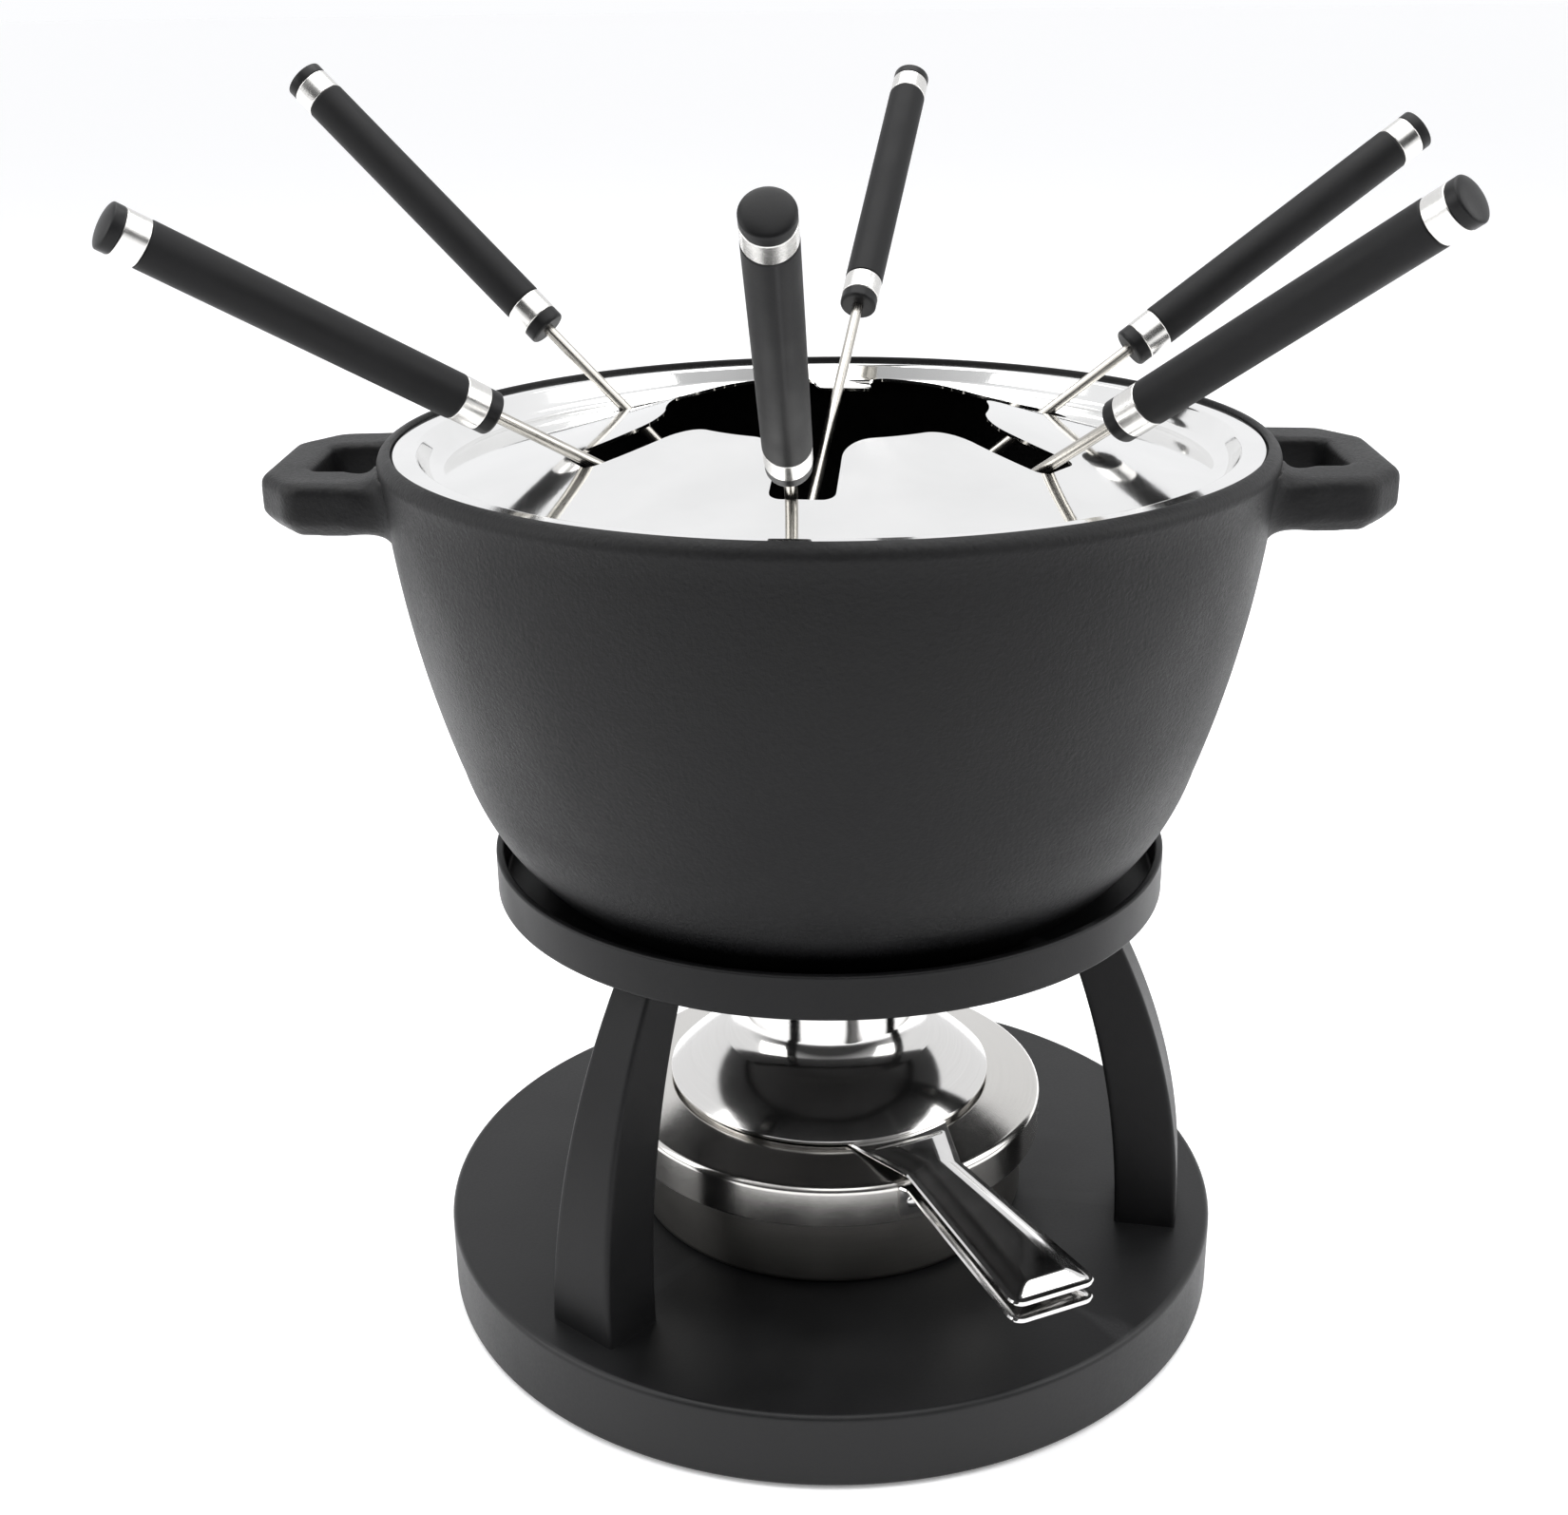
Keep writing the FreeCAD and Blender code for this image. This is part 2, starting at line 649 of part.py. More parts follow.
def regulator_handle():
    # Turning disc with air holes that match the lid's, drawn out into the upper arm.
    disc = Part.makeCylinder(disc_radius, disc_thickness, Vec(0, 0, disc_under))
    panel_start = disc_radius + hat_rim_overhang + bead_start_gap
    arm = stamped_arm(disc_top, disc_radius - arm_root_lap, arm_root_half, panel_start)
    neck = Part.makeCylinder(collar_neck_radius + turning_clearance, 3 * disc_thickness,
                             Vec(0, 0, disc_under - disc_thickness))
    plate = disc.fuse(spun(arm, burner_angle)).removeSplitter()
    return plate.cut(neck).cut(air_holes(disc_under - disc_thickness, 3 * disc_thickness))


def lid_handle():
    # Lower arm with a bracket that lies against the lid's skirt.
    top = disc_under - lower_arm_drop
    bottom = top - disc_thickness
    skirt = lid_radius
    outside = skirt + disc_thickness
    arm = stamped_arm(top, skirt - disc_thickness, bracket_half, outside + bead_start_gap)
    shell = Part.makeCylinder(outside, bracket_height, Vec(0, 0, top - bracket_height))
    window = Part.makeBox(outside, 2 * bracket_half, 2 * bracket_height,
                          Vec(skirt / 2, -bracket_half, top - 1.5 * bracket_height))
    core = Part.makeCylinder(skirt, 3 * bracket_height, Vec(0, 0, bottom - 2 * bracket_height))
    part = arm.fuse(shell.common(window)).cut(core).removeSplitter()
    return spun(part.cut(rivets_along(0)), burner_angle)


def rivets_along(head_height):
    # Two rivets along +X through the bracket and the skirt, as plain shanks when no head is asked for.
    level = disc_under - lower_arm_drop - disc_thickness - (bracket_height - disc_thickness) / 2
    inside = lid_radius - lid_sheet
    outside = lid_radius + disc_thickness
    pair = []
    for side in (-1, 1):
        across = side * rivet_spacing / 2
        near = math.sqrt(inside ** 2 - across ** 2)
        far = math.sqrt(outside ** 2 - across ** 2)
        start = near - rivet_tail
        length = far - start + rivet_neck
        shank = Part.makeCylinder(rivet_radius, length, Vec(start, across, level), Vec(1, 0, 0))
        if head_height > 0:
            head = Part.makeCone(rivet_head_radius, rivet_head_radius * rivet_head_taper, head_height,
                                 Vec(far + rivet_head_lift, across, level), Vec(1, 0, 0))
            shank = shank.fuse(head)
        pair.append(shank)
    return Part.makeCompound(pair)


def lid_rivets():
    return spun(rivets_along(rivet_head_height), burner_angle)


def burner_lid_drilled():
    return burner_lid().cut(spun(rivets_along(0), burner_angle))


def regulator_hat():
    # Pressed hat with a crease, carried up into the chimney.
    thin = hat_sheet
    low = disc_top
    rim = disc_radius + hat_rim_overhang
    neck = chimney_radius
    mouth = low + chimney_height
    rim_top = (rim, low + thin)
    crease = (hat_crease_radius, low + hat_crease_rise)
    throat = (neck, low + chimney_start_rise)
    inner_throat = (neck - thin, low + chimney_start_rise)
    inner_crease = (hat_crease_radius - thin / 2, low + hat_crease_rise - thin)
    inner_rim = (rim - 2 * thin, low + thin)
    return turned((rim, low), rim_top, (bowed(rim_top, crease, hat_convex_bow), crease),
                  (bowed(crease, throat, -hat_concave_bow), throat), (neck, mouth), (neck - thin, mouth),
                  inner_throat, (bowed(inner_throat, inner_crease, hat_concave_bow), inner_crease),
                  (bowed(inner_crease, inner_rim, -hat_convex_bow), inner_rim), (rim - 2 * thin, low))


def build_pieces():
    pieces = {
        "base_pad": base_pad(),
        "base_board": base_board(),
        "foot_screws": foot_screws(),
        "stand_ring": stand_ring(),
        "ring_screws": ring_screws(),
        "pot": pot(),
        "splatter_guard": splatter_guard(),
        "burner_cup": burner_cup(),
        "fuel_tin": fuel_tin(),
        "fuel_paste": fuel_paste(),
        "burner_lid": burner_lid_drilled(),
        "lid_handle": lid_handle(),
        "lid_rivets": lid_rivets(),
        "regulator_handle": regulator_handle(),
        "regulator_hat": regulator_hat(),
    }
    for k in range(leg_count):
        pieces["leg_%d" % (k + 1)] = spun(leg(), first_leg_angle + 360 / leg_count * k)
    for number, seat in enumerate(fork_seats, 1):
        for name, piece in fork_pieces(seat).items():
            piece.Placement = fork_place(seat).multiply(piece.Placement)
            pieces["fork_%d_%s" % (number, name)] = piece
    return pieces


os.makedirs("parts", exist_ok=True)
for name, piece in build_pieces().items():
    piece.exportStep("parts/%s.step" % name)
    print(name, round(piece.Volume, 1), piece.isValid())
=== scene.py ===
import json
import math
import bmesh
import bpy
import numpy as np
from mathutils import Matrix, Vector


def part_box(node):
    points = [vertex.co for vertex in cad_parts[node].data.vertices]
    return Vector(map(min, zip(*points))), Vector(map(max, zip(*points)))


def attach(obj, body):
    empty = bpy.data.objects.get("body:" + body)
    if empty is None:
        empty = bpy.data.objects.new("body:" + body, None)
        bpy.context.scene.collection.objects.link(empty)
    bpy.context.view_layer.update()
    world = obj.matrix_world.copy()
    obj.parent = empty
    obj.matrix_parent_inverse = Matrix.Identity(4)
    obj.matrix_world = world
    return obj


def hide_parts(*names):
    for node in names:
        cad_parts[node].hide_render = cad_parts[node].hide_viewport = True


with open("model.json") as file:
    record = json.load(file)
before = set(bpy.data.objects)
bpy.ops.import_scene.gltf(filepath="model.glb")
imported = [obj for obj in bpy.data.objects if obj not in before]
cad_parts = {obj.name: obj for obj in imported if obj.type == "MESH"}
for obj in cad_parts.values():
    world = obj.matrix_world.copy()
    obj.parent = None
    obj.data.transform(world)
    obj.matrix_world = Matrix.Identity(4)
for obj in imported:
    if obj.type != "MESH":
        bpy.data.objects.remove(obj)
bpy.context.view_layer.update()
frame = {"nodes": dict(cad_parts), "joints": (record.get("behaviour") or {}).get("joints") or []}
cadNodes = frame["nodes"]
slides = {joint["child"]: joint for joint in frame["joints"]}
mm = 0.001
print("fondue set: frame loaded,", len(cadNodes), "nodes")


def addNode(tree, kind, inputs=None, **settings):
    node = tree.nodes.new(kind)
    for key, value in settings.items():
        setattr(node, key, value)
    for key, value in (inputs or {}).items():
        if isinstance(value, bpy.types.NodeSocket):
            tree.links.new(value, node.inputs[key])
        else:
            node.inputs[key].default_value = value
    return node


def math2(tree, operation, a, b=0.0):
    return addNode(tree, "ShaderNodeMath", {0: a, 1: b}, operation=operation).outputs[0]


def times(tree, a, b):
    return math2(tree, "MULTIPLY", a, b)


def plus(tree, a, b):
    return math2(tree, "ADD", a, b)


def parted(tree, vector):  # its x, y and z
    return addNode(tree, "ShaderNodeSeparateXYZ", {0: vector}).outputs


def joined(tree, *parts):
    return addNode(tree, "ShaderNodeCombineXYZ", dict(enumerate(parts))).outputs[0]


def spread(tree, value, low, high, fromLow=0.0, fromHigh=1.0):  # re-scales a 0..1 pattern, held at its ends
    return addNode(tree, "ShaderNodeMapRange", {"Value": value, "From Min": fromLow, "From Max": fromHigh,
            "To Min": low, "To Max": high}).outputs[0]


def blendColour(tree, amount, a, b):
    node = addNode(tree, "ShaderNodeMix", {0: amount}, data_type="RGBA")
    for socket, value in ((node.inputs[6], a), (node.inputs[7], b)):
        if isinstance(value, bpy.types.NodeSocket):
            tree.links.new(value, socket)
        else:
            socket.default_value = (*value, 1.0)
    return node.outputs[2]


def cloud(tree, where, size, detail=3.0, rough=0.5):  # noise whose lumps are about size millimetres across
    return addNode(tree, "ShaderNodeTexNoise", {"Vector": where, "Scale": 1 / (size * mm), "Detail": detail,
            "Roughness": rough}).outputs[0]


def bumped(tree, height, depth, below=None):  # depth in millimetres
    node = addNode(tree, "ShaderNodeBump", {"Height": height, "Distance": depth * mm, "Strength": 1.0})
    if below is not None:
        tree.links.new(below, node.inputs["Normal"])
    return node.outputs[0]


def startFinish(name):
    finish = bpy.data.materials.new(name)
    finish.use_nodes = True
    tree = finish.node_tree
    shader = tree.nodes["Principled BSDF"]
    where = addNode(tree, "ShaderNodeTexCoord").outputs
    return finish, tree, shader, where


def coatedFinish(name, look):  # enamel, lacquer and plastic: patches, grain, dull areas, and convex edges made paler by pointiness, partly rubbed wear and partly painted sheen
    finish, tree, shader, where = startFinish(name)
    spot = where["Object"]
    patches = cloud(tree, spot, look["patch"], 4.0)
    grain = cloud(tree, spot, look["grain"], 5.0, 0.6)
    pale = blendColour(tree, spread(tree, patches, 0.0, 1.0, 0.35, 0.65), look["dark"], look["pale"])
    edge = addNode(tree, "ShaderNodeNewGeometry").outputs["Pointiness"]
    # painted sheen: pointiness picks out convex edges and the blend below paints them paler, standing in for
    # rubbed wear and for light catching the edges
    rubbedAndSheen = times(tree, spread(tree, edge, 0.0, look["wear"], 0.52, 0.60), spread(tree, grain, 0.3, 1.0,
            0.35, 0.6))
    tree.links.new(blendColour(tree, rubbedAndSheen, pale, look["rubbedAndSheen"]), shader.inputs["Base Color"])
    sheenPatch = plus(tree, times(tree, patches, 0.6), times(tree, grain, 0.4))
    tree.links.new(spread(tree, sheenPatch, *look["rough"], 0.38, 0.62), shader.inputs["Roughness"])
    waves = bumped(tree, cloud(tree, spot, look["wave"], 2.0), look["waveDepth"])
    tree.links.new(bumped(tree, grain, look["grainDepth"], waves), shader.inputs["Normal"])
    shader.inputs["Specular IOR Level"].default_value = look["specular"]
    return finish


def turnedSteel(name, look):  # marks run round the piece, or along it where lengthwise is set
    finish, tree, shader, where = startFinish(name)
    parts = parted(tree, where["UV"])
    if look.get("lengthwise"):
        turn = times(tree, parts[0], 2 * math.pi)
        ring = joined(tree, math2(tree, "COSINE", turn), math2(tree, "SINE", turn),
                times(tree, parts[1], 14.0))
        marks = addNode(tree, "ShaderNodeTexNoise", {"Vector": ring, "Scale": 9.0, "Detail": 4.0}).outputs[0]
    else:
        marks = addNode(tree, "ShaderNodeTexNoise", {
            "Vector": where["Object"], "W": times(tree, parts[1], 1 / (look["mark"] * mm)),
            "Scale": 25.0, "Detail": 4.0, "Roughness": 0.65}, noise_dimensions="4D").outputs[0]
    smudge = cloud(tree, where["Object"], look["smudge"], 3.0)
    tree.links.new(blendColour(tree, spread(tree, marks, 0.0, 1.0, 0.3, 0.7), look["dark"], look["pale"]),
            shader.inputs["Base Color"])
    mixed = plus(tree, times(tree, marks, 0.55), times(tree, smudge, 0.45))
    tree.links.new(spread(tree, mixed, *look["rough"], 0.36, 0.64), shader.inputs["Roughness"])
    tree.links.new(bumped(tree, marks, look["depth"]), shader.inputs["Normal"])
    shader.inputs["Metallic"].default_value = 1.0
    return finish


def pressedSteel(name, look):  # polished sheet: hairlines one way, finger smudges, slight waviness
    finish, tree, shader, where = startFinish(name)
    spot = where["Object"]
    fine = look["fine"]
    lines = addNode(tree, "ShaderNodeMapping", {
        0: spot, 2: (0.0, 0.0, look["lay"]), 3: (fine, fine * 0.02, fine * 0.3)}).outputs[0]
    hair = addNode(tree, "ShaderNodeTexNoise", {"Vector": lines, "Scale": 1.0, "Detail": 3.0}).outputs[0]
    smudge = cloud(tree, spot, look["smudge"], 4.0)
    tree.links.new(blendColour(tree, smudge, look["dark"], look["pale"]), shader.inputs["Base Color"])
    mixed = plus(tree, times(tree, hair, 0.3), times(tree, smudge, 0.7))
    tree.links.new(spread(tree, mixed, *look["rough"], 0.36, 0.66), shader.inputs["Roughness"])
    waves = bumped(tree, cloud(tree, spot, look["wave"], 1.0), look["waveDepth"])
    tree.links.new(bumped(tree, hair, look["depth"], waves), shader.inputs["Normal"])
    shader.inputs["Metallic"].default_value = 1.0
    return finish


blackCoat = {"dark": (0.0035, 0.0035, 0.0038), "pale": (0.0065, 0.0065, 0.007), "rubbedAndSheen": (0.05, 0.05, 0.052),
             "patch": 26.0, "grain": 0.45, "grainDepth": 0.035, "wave": 14.0, "waveDepth": 0.02, "wear": 0.35,
             "rough": (0.40, 0.52), "specular": 0.2}

coats = {  # each one says only where it differs from the black coat
    "board_lacquer": {"grain": 0.8, "grainDepth": 0.02, "specular": 0.32, "rough": (0.38, 0.5)},
    "pad_foam": {"dark": (0.012, 0.012, 0.012), "pale": (0.03, 0.03, 0.03), "grain": 0.9, "grainDepth": 0.25,
                 "rough": (0.8, 0.95)},
    "leg_enamel": {"grain": 0.35, "wear": 0.5},
    "ring_enamel": {"grain": 0.35, "rough": (0.38, 0.5)},
    # the pot's larger edge amount and paler edge colour paint sheen onto its rim and loops, on top of worn
    # enamel
    "pot_enamel": {"patch": 38.0, "grain": 0.95, "grainDepth": 0.2, "wave": 9.0, "waveDepth": 0.12, "wear": 0.6,
                   "rubbedAndSheen": (0.075, 0.072, 0.07), "rough": (0.43, 0.58)},
    "grip_coating": {"grain": 0.25, "grainDepth": 0.02, "patch": 12.0, "rough": (0.5, 0.62)},
    "cap_plastic": {"grain": 0.4, "grainDepth": 0.02, "patch": 6.0, "rough": (0.34, 0.46)},
    "fuel_gel": {"dark": (0.20, 0.30, 0.46), "pale": (0.36, 0.48, 0.64), "rubbedAndSheen": (0.5, 0.6, 0.7),
                 "grain": 2.5, "grainDepth": 0.4, "rough": (0.15, 0.35)}}

sheets = {
    "screw_zinc": {"dark": (0.45, 0.45, 0.43), "pale": (0.62, 0.62, 0.60), "fine": 4000.0, "lay": 0.4,
                   "smudge": 2.0, "wave": 3.0, "waveDepth": 0.01, "depth": 0.004, "rough": (0.24, 0.42)},
    "guard_steel": {"dark": (0.78, 0.78, 0.77), "pale": (0.91, 0.905, 0.895), "fine": 2500.0, "lay": 0.9,
                    "smudge": 22.0, "wave": 34.0, "waveDepth": 0.05, "depth": 0.0006, "rough": (0.035, 0.11)},
    "arm_steel": {"dark": (0.62, 0.61, 0.60), "pale": (0.78, 0.775, 0.765), "fine": 3000.0, "lay": -1.12,
                  "smudge": 9.0, "wave": 9.0, "waveDepth": 0.03, "depth": 0.001, "rough": (0.06, 0.17)},
    "rivet_steel": {"dark": (0.5, 0.5, 0.49), "pale": (0.7, 0.7, 0.69), "fine": 4000.0, "lay": 0.2,
                    "smudge": 1.5, "wave": 3.0, "waveDepth": 0.01, "depth": 0.002, "rough": (0.15, 0.3)}}

turnings = {
    "shaft_steel": {"lengthwise": True, "dark": (0.34, 0.325, 0.295), "pale": (0.56, 0.54, 0.50), "smudge": 6.0,
                    "depth": 0.004, "rough": (0.22, 0.34)},
    "ferrule_steel": {"mark": 0.16, "dark": (0.56, 0.55, 0.53), "pale": (0.84, 0.83, 0.81), "smudge": 4.0,
                      "depth": 0.006, "rough": (0.16, 0.30)},
    "cup_steel": {"mark": 0.3, "dark": (0.12, 0.116, 0.108), "pale": (0.19, 0.184, 0.174), "smudge": 12.0,
                  "depth": 0.012, "rough": (0.34, 0.5)},
    "tin_plate": {"mark": 0.5, "dark": (0.48, 0.47, 0.44), "pale": (0.7, 0.69, 0.66), "smudge": 9.0,
                  "depth": 0.008, "rough": (0.22, 0.4)},
    "lid_steel": {"mark": 0.22, "dark": (0.56, 0.545, 0.52), "pale": (0.73, 0.715, 0.69), "smudge": 14.0,
                  "depth": 0.0035, "rough": (0.10, 0.22)},
    "hat_steel": {"mark": 0.35, "dark": (0.62, 0.61, 0.595), "pale": (0.80, 0.79, 0.775), "smudge": 16.0,
                  "depth": 0.0025, "rough": (0.06, 0.16)}}


def plainName(slot):
    first, second = slot.split("_")
    return first + second.capitalize()


finishes = {slot: coatedFinish(plainName(slot), {**blackCoat, **look}) for slot, look in coats.items()}
finishes.update({slot: pressedSteel(plainName(slot), look) for slot, look in sheets.items()})
finishes.update({slot: turnedSteel(plainName(slot), look) for slot, look in turnings.items()})
print("finishes made:", len(finishes))


def startTree(name, inputs):
    tree = bpy.data.node_groups.new(name, "GeometryNodeTree")
    for label, kind in {**inputs, "Finish": "Material"}.items():
        tree.interface.new_socket(label, in_out="INPUT", socket_type="NodeSocket" + kind)
    tree.interface.new_socket("Shape", in_out="OUTPUT", socket_type="NodeSocketGeometry")
    return tree, addNode(tree, "NodeGroupInput").outputs


def endTree(tree, shape, finish):
    whole = addNode(tree, "GeometryNodeRealizeInstances", {"Geometry": shape}).outputs[0]
    shown = addNode(tree, "GeometryNodeSetMaterial", {"Geometry": whole, "Material": finish}).outputs[0]
    addNode(tree, "NodeGroupOutput", {"Shape": shown})
    return tree


def turnedTree():  # sweeps a profile once round the upright axis
    tree, start = startTree("turnedShape", {"Profile": "Geometry", "Steps Around": "Int"})
    sizes = addNode(tree, "GeometryNodeAttributeDomainSize", {"Geometry": start["Profile"]}).outputs
    points = sizes["Point Count"]
    columns = plus(tree, start["Steps Around"], 1.0)
    grid = addNode(tree, "GeometryNodeMeshGrid", {"Size X": 1.0, "Size Y": 1.0, "Vertices X": columns,
            "Vertices Y": points}).outputs["Mesh"]
    position = addNode(tree, "GeometryNodeInputPosition").outputs[0]
    place = parted(tree, position)
    share = plus(tree, place[0], 0.5)
    row = math2(tree, "ROUND", times(tree, plus(tree, place[1], 0.5), math2(tree, "SUBTRACT", points, 1.0)))
    spot = addNode(tree, "GeometryNodeSampleIndex", {"Geometry": start["Profile"], "Value": position,
            "Index": row}, data_type="FLOAT_VECTOR", domain="POINT").outputs[0]
    spot = parted(tree, spot)
    turn = times(tree, share, 2 * math.pi)
    target = joined(tree, times(tree, spot[0], math2(tree, "COSINE", turn)), times(tree, spot[0], math2(tree,
            "SINE", turn)), spot[2])
    sheet = joined(tree, share, spot[1])
    held = addNode(tree, "GeometryNodeCaptureAttribute", {"Geometry": grid}, domain="POINT")
    held.capture_items.new("VECTOR", "sheet")
    held.capture_items.new("VECTOR", "target")
    tree.links.new(sheet, held.inputs["sheet"])
    tree.links.new(target, held.inputs["target"])
    stored = addNode(tree, "GeometryNodeStoreNamedAttribute", {
        "Geometry": held.outputs["Geometry"], "Name": "UVMap", "Value": held.outputs["sheet"]},
        data_type="FLOAT2", domain="CORNER").outputs[0]
    moved = addNode(tree, "GeometryNodeSetPosition", {"Geometry": stored,
            "Position": held.outputs["target"]}).outputs[0]
    welded = addNode(tree, "GeometryNodeMergeByDistance", {"Geometry": moved,
            "Distance": 0.002 * mm}).outputs[0]
    smooth = addNode(tree, "GeometryNodeSetShadeSmooth", {"Geometry": welded}).outputs[0]
    return endTree(tree, smooth, start["Finish"])


def copiesTree():  # copies of one shape round the upright axis
    tree, start = startTree("copiesRound", {"Shape": "Geometry", "Copies": "Int", "Circle": "Float",
            "Height": "Float", "First Angle": "Float", "Step Angle": "Float"})
    number = addNode(tree, "GeometryNodeInputIndex").outputs[0]
    angle = plus(tree, start["First Angle"], times(tree, number, start["Step Angle"]))
    place = joined(tree, times(tree, start["Circle"], math2(tree, "COSINE", angle)),
            times(tree, start["Circle"], math2(tree, "SINE", angle)), start["Height"])
    points = addNode(tree, "GeometryNodePoints", {"Count": start["Copies"], "Position": place}).outputs[0]
    lean = joined(tree, 0.0, 0.0, angle)
    many = addNode(tree, "GeometryNodeInstanceOnPoints", {"Points": points, "Instance": start["Shape"],
            "Rotation": lean}).outputs[0]
    return endTree(tree, many, start["Finish"])


turnedShape = turnedTree()
copiesRound = copiesTree()


def socketKeys(tree):
    return {item.name: item.identifier for item in tree.interface.items_tree
            if item.item_type == "SOCKET" and item.in_out == "INPUT"}


def throughTree(mesh, tree, values):  # runs a tree on a mesh and gives back the plain result
    carrier = bpy.data.objects.new("carrier", mesh)
    bpy.context.scene.collection.objects.link(carrier)
    modifier = carrier.modifiers.new("shape", "NODES")
    modifier.node_group = tree
    keys = socketKeys(tree)
    for name, value in values.items():
        modifier[keys[name]] = value
    return plainMesh(carrier)


def plainMesh(carrier):
    bpy.context.view_layer.update()
    result = bpy.data.meshes.new_from_object(carrier.evaluated_get(bpy.context.evaluated_depsgraph_get()))
    source = carrier.data
    bpy.data.objects.remove(carrier)
    bpy.data.meshes.remove(source)
    return result


def creased(mesh, angle=34):  # smooth shading breaks where faces meet more steeply than this, in degrees
    mesh.set_sharp_from_angle(angle=math.radians(angle))


def facingOut(mesh):
    work = bmesh.new()
    work.from_mesh(mesh)
    if work.calc_volume(signed=True) < 0:
        bmesh.ops.reverse_faces(work, faces=work.faces)
    work.to_mesh(mesh)
    work.free()
    return mesh


def softened(line, closed=False, steps=5):  # line of (r, z) or (r, z, round), in millimetres
    result = []
    count = len(line)
    for k, corner in enumerate(line):
        here = np.array(corner[:2], float)
        size = corner[2] if len(corner) > 2 else 0
        if not size or (not closed and k in (0, count - 1)):
            result.append(here)
            continue
        back = np.array(line[k - 1][:2], float) - here
        ahead = np.array(line[(k + 1) % count][:2], float) - here
        backLength, aheadLength = np.linalg.norm(back), np.linalg.norm(ahead)
        back, ahead = back / backLength, ahead / aheadLength
        half = math.acos(max(-1, min(1, float(back @ ahead)))) / 2
        cut = min(size / math.tan(half), backLength * 0.45, aheadLength * 0.45)
        radius = cut * math.tan(half)
        centre = here + (back + ahead) / np.linalg.norm(back + ahead) * radius / math.sin(half)
        first, last = here + back * cut, here + ahead * cut
        hold = min(0.25 * cut, 0.2)
        result.append(first + back * hold)
        for step in range(steps + 1):
            way = first + (last - first) * step / steps - centre
            result.append(centre + way / np.linalg.norm(way) * radius)
        result.append(last + ahead * hold)
    if closed:
        result.append(result[0])
    return result


def bowLine(start, end, bow, steps):  # points of an arc between two ends, without the ends, bowed to the right
    chord = np.array(end[:2], float) - np.array(start[:2], float)
    length = float(np.linalg.norm(chord))
    side = np.array((chord[1], -chord[0])) / length
    middle = (np.array(start[:2]) + np.array(end[:2])) / 2
    curve = (length * length / 4 + bow * bow) / (2 * bow)
    centre = middle + side * (bow - curve)
    result = []
    for step in range(1, steps):
        way = np.array(start[:2]) + chord * step / steps - centre
        result.append(tuple(centre + way / np.linalg.norm(way) * abs(curve)))
    return result


def turnedMesh(line, finish, around, sharp=34):  # line in millimetres; the profile's y carries its length
    spots, length = [], 0.0
    for k, point in enumerate(line):
        if k:
            length += math.dist(point, line[k - 1]) * mm
        spots.append((point[0] * mm, length, point[1] * mm))
    profile = bpy.data.meshes.new("profile")
    profile.from_pydata(spots, [(k, k + 1) for k in range(len(spots) - 1)], [])
    mesh = throughTree(profile, turnedShape, {"Steps Around": around, "Finish": finish})
    facingOut(mesh)
    creased(mesh, sharp)
    return mesh


def copiesMesh(mesh, look, finish):
    return throughTree(mesh, copiesRound, {
        "Copies": look["copies"], "Circle": look["circle"] * mm, "Height": look["height"] * mm,
        "First Angle": math.radians(look["firstAngle"]), "Step Angle": math.radians(look["stepAngle"]),
        "Finish": finish})


def cutAway(mesh, tool):  # takes one mesh out of another
    piece = bpy.data.objects.new("carrier", mesh)
    cutter = bpy.data.objects.new("cutter", tool)
    for item in (piece, cutter):
        bpy.context.scene.collection.objects.link(item)
    modifier = piece.modifiers.new("cut", "BOOLEAN")
    modifier.operation = "DIFFERENCE"
    modifier.solver = "EXACT"
    modifier.object = cutter
    result = plainMesh(piece)
    bpy.data.objects.remove(cutter)
    creased(result)
    return result


def oneFinish(mesh, finish):  # a single filled slot that every face uses
    mesh.materials.clear()
    mesh.materials.append(finish)
    mesh.polygons.foreach_set("material_index", [0] * len(mesh.polygons))
    return mesh


def together(*meshes):
    work = bmesh.new()
    for mesh in meshes:
        work.from_mesh(mesh)
    result = meshes[0].copy()
    work.to_mesh(result)
    work.free()
    return oneFinish(result, [finish for finish in result.materials if finish][0])


def gridMesh(rows, finish, closedRows=True):  # rows of points, as a tube of quads
    rows = np.array(rows, float)
    high, wide = rows.shape[:2]
    index = np.arange(high * wide).reshape(high, wide)
    a = index if closedRows else index[:-1]
    b = np.roll(index, -1, 0) if closedRows else index[1:]
    c, d = np.roll(b, -1, 1), np.roll(a, -1, 1)
    faces = np.stack([a, b, c, d], -1).reshape(-1, 4).tolist()
    if not closedRows:
        faces += [index[0].tolist(), index[-1][::-1].tolist()]
    mesh = bpy.data.meshes.new("grid")
    mesh.from_pydata((rows.reshape(-1, 3) * mm).tolist(), [], faces)
    mesh.materials.append(finish)
    mesh.polygons.foreach_set("use_smooth", [True] * len(mesh.polygons))
    facingOut(mesh)
    creased(mesh)
    return mesh


def addPiece(name, mesh, body, nodes):
    mesh.name = name
    piece = bpy.data.objects.new(name, mesh)
    bpy.context.scene.collection.objects.link(piece)
    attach(piece, body)
    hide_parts(*nodes)
    return piece


screwSet = {"copies": 3, "firstAngle": -130.0, "stepAngle": 120.0}
holeReach = 60  # past the far side of whatever is drilled

boardLook = {"edgeRound": 1.4, "lowerRound": 0.8, "around": 256, "holeRadius": 2.75, "sinkRadius": 4.7,
             "screwCircle": 83.75}


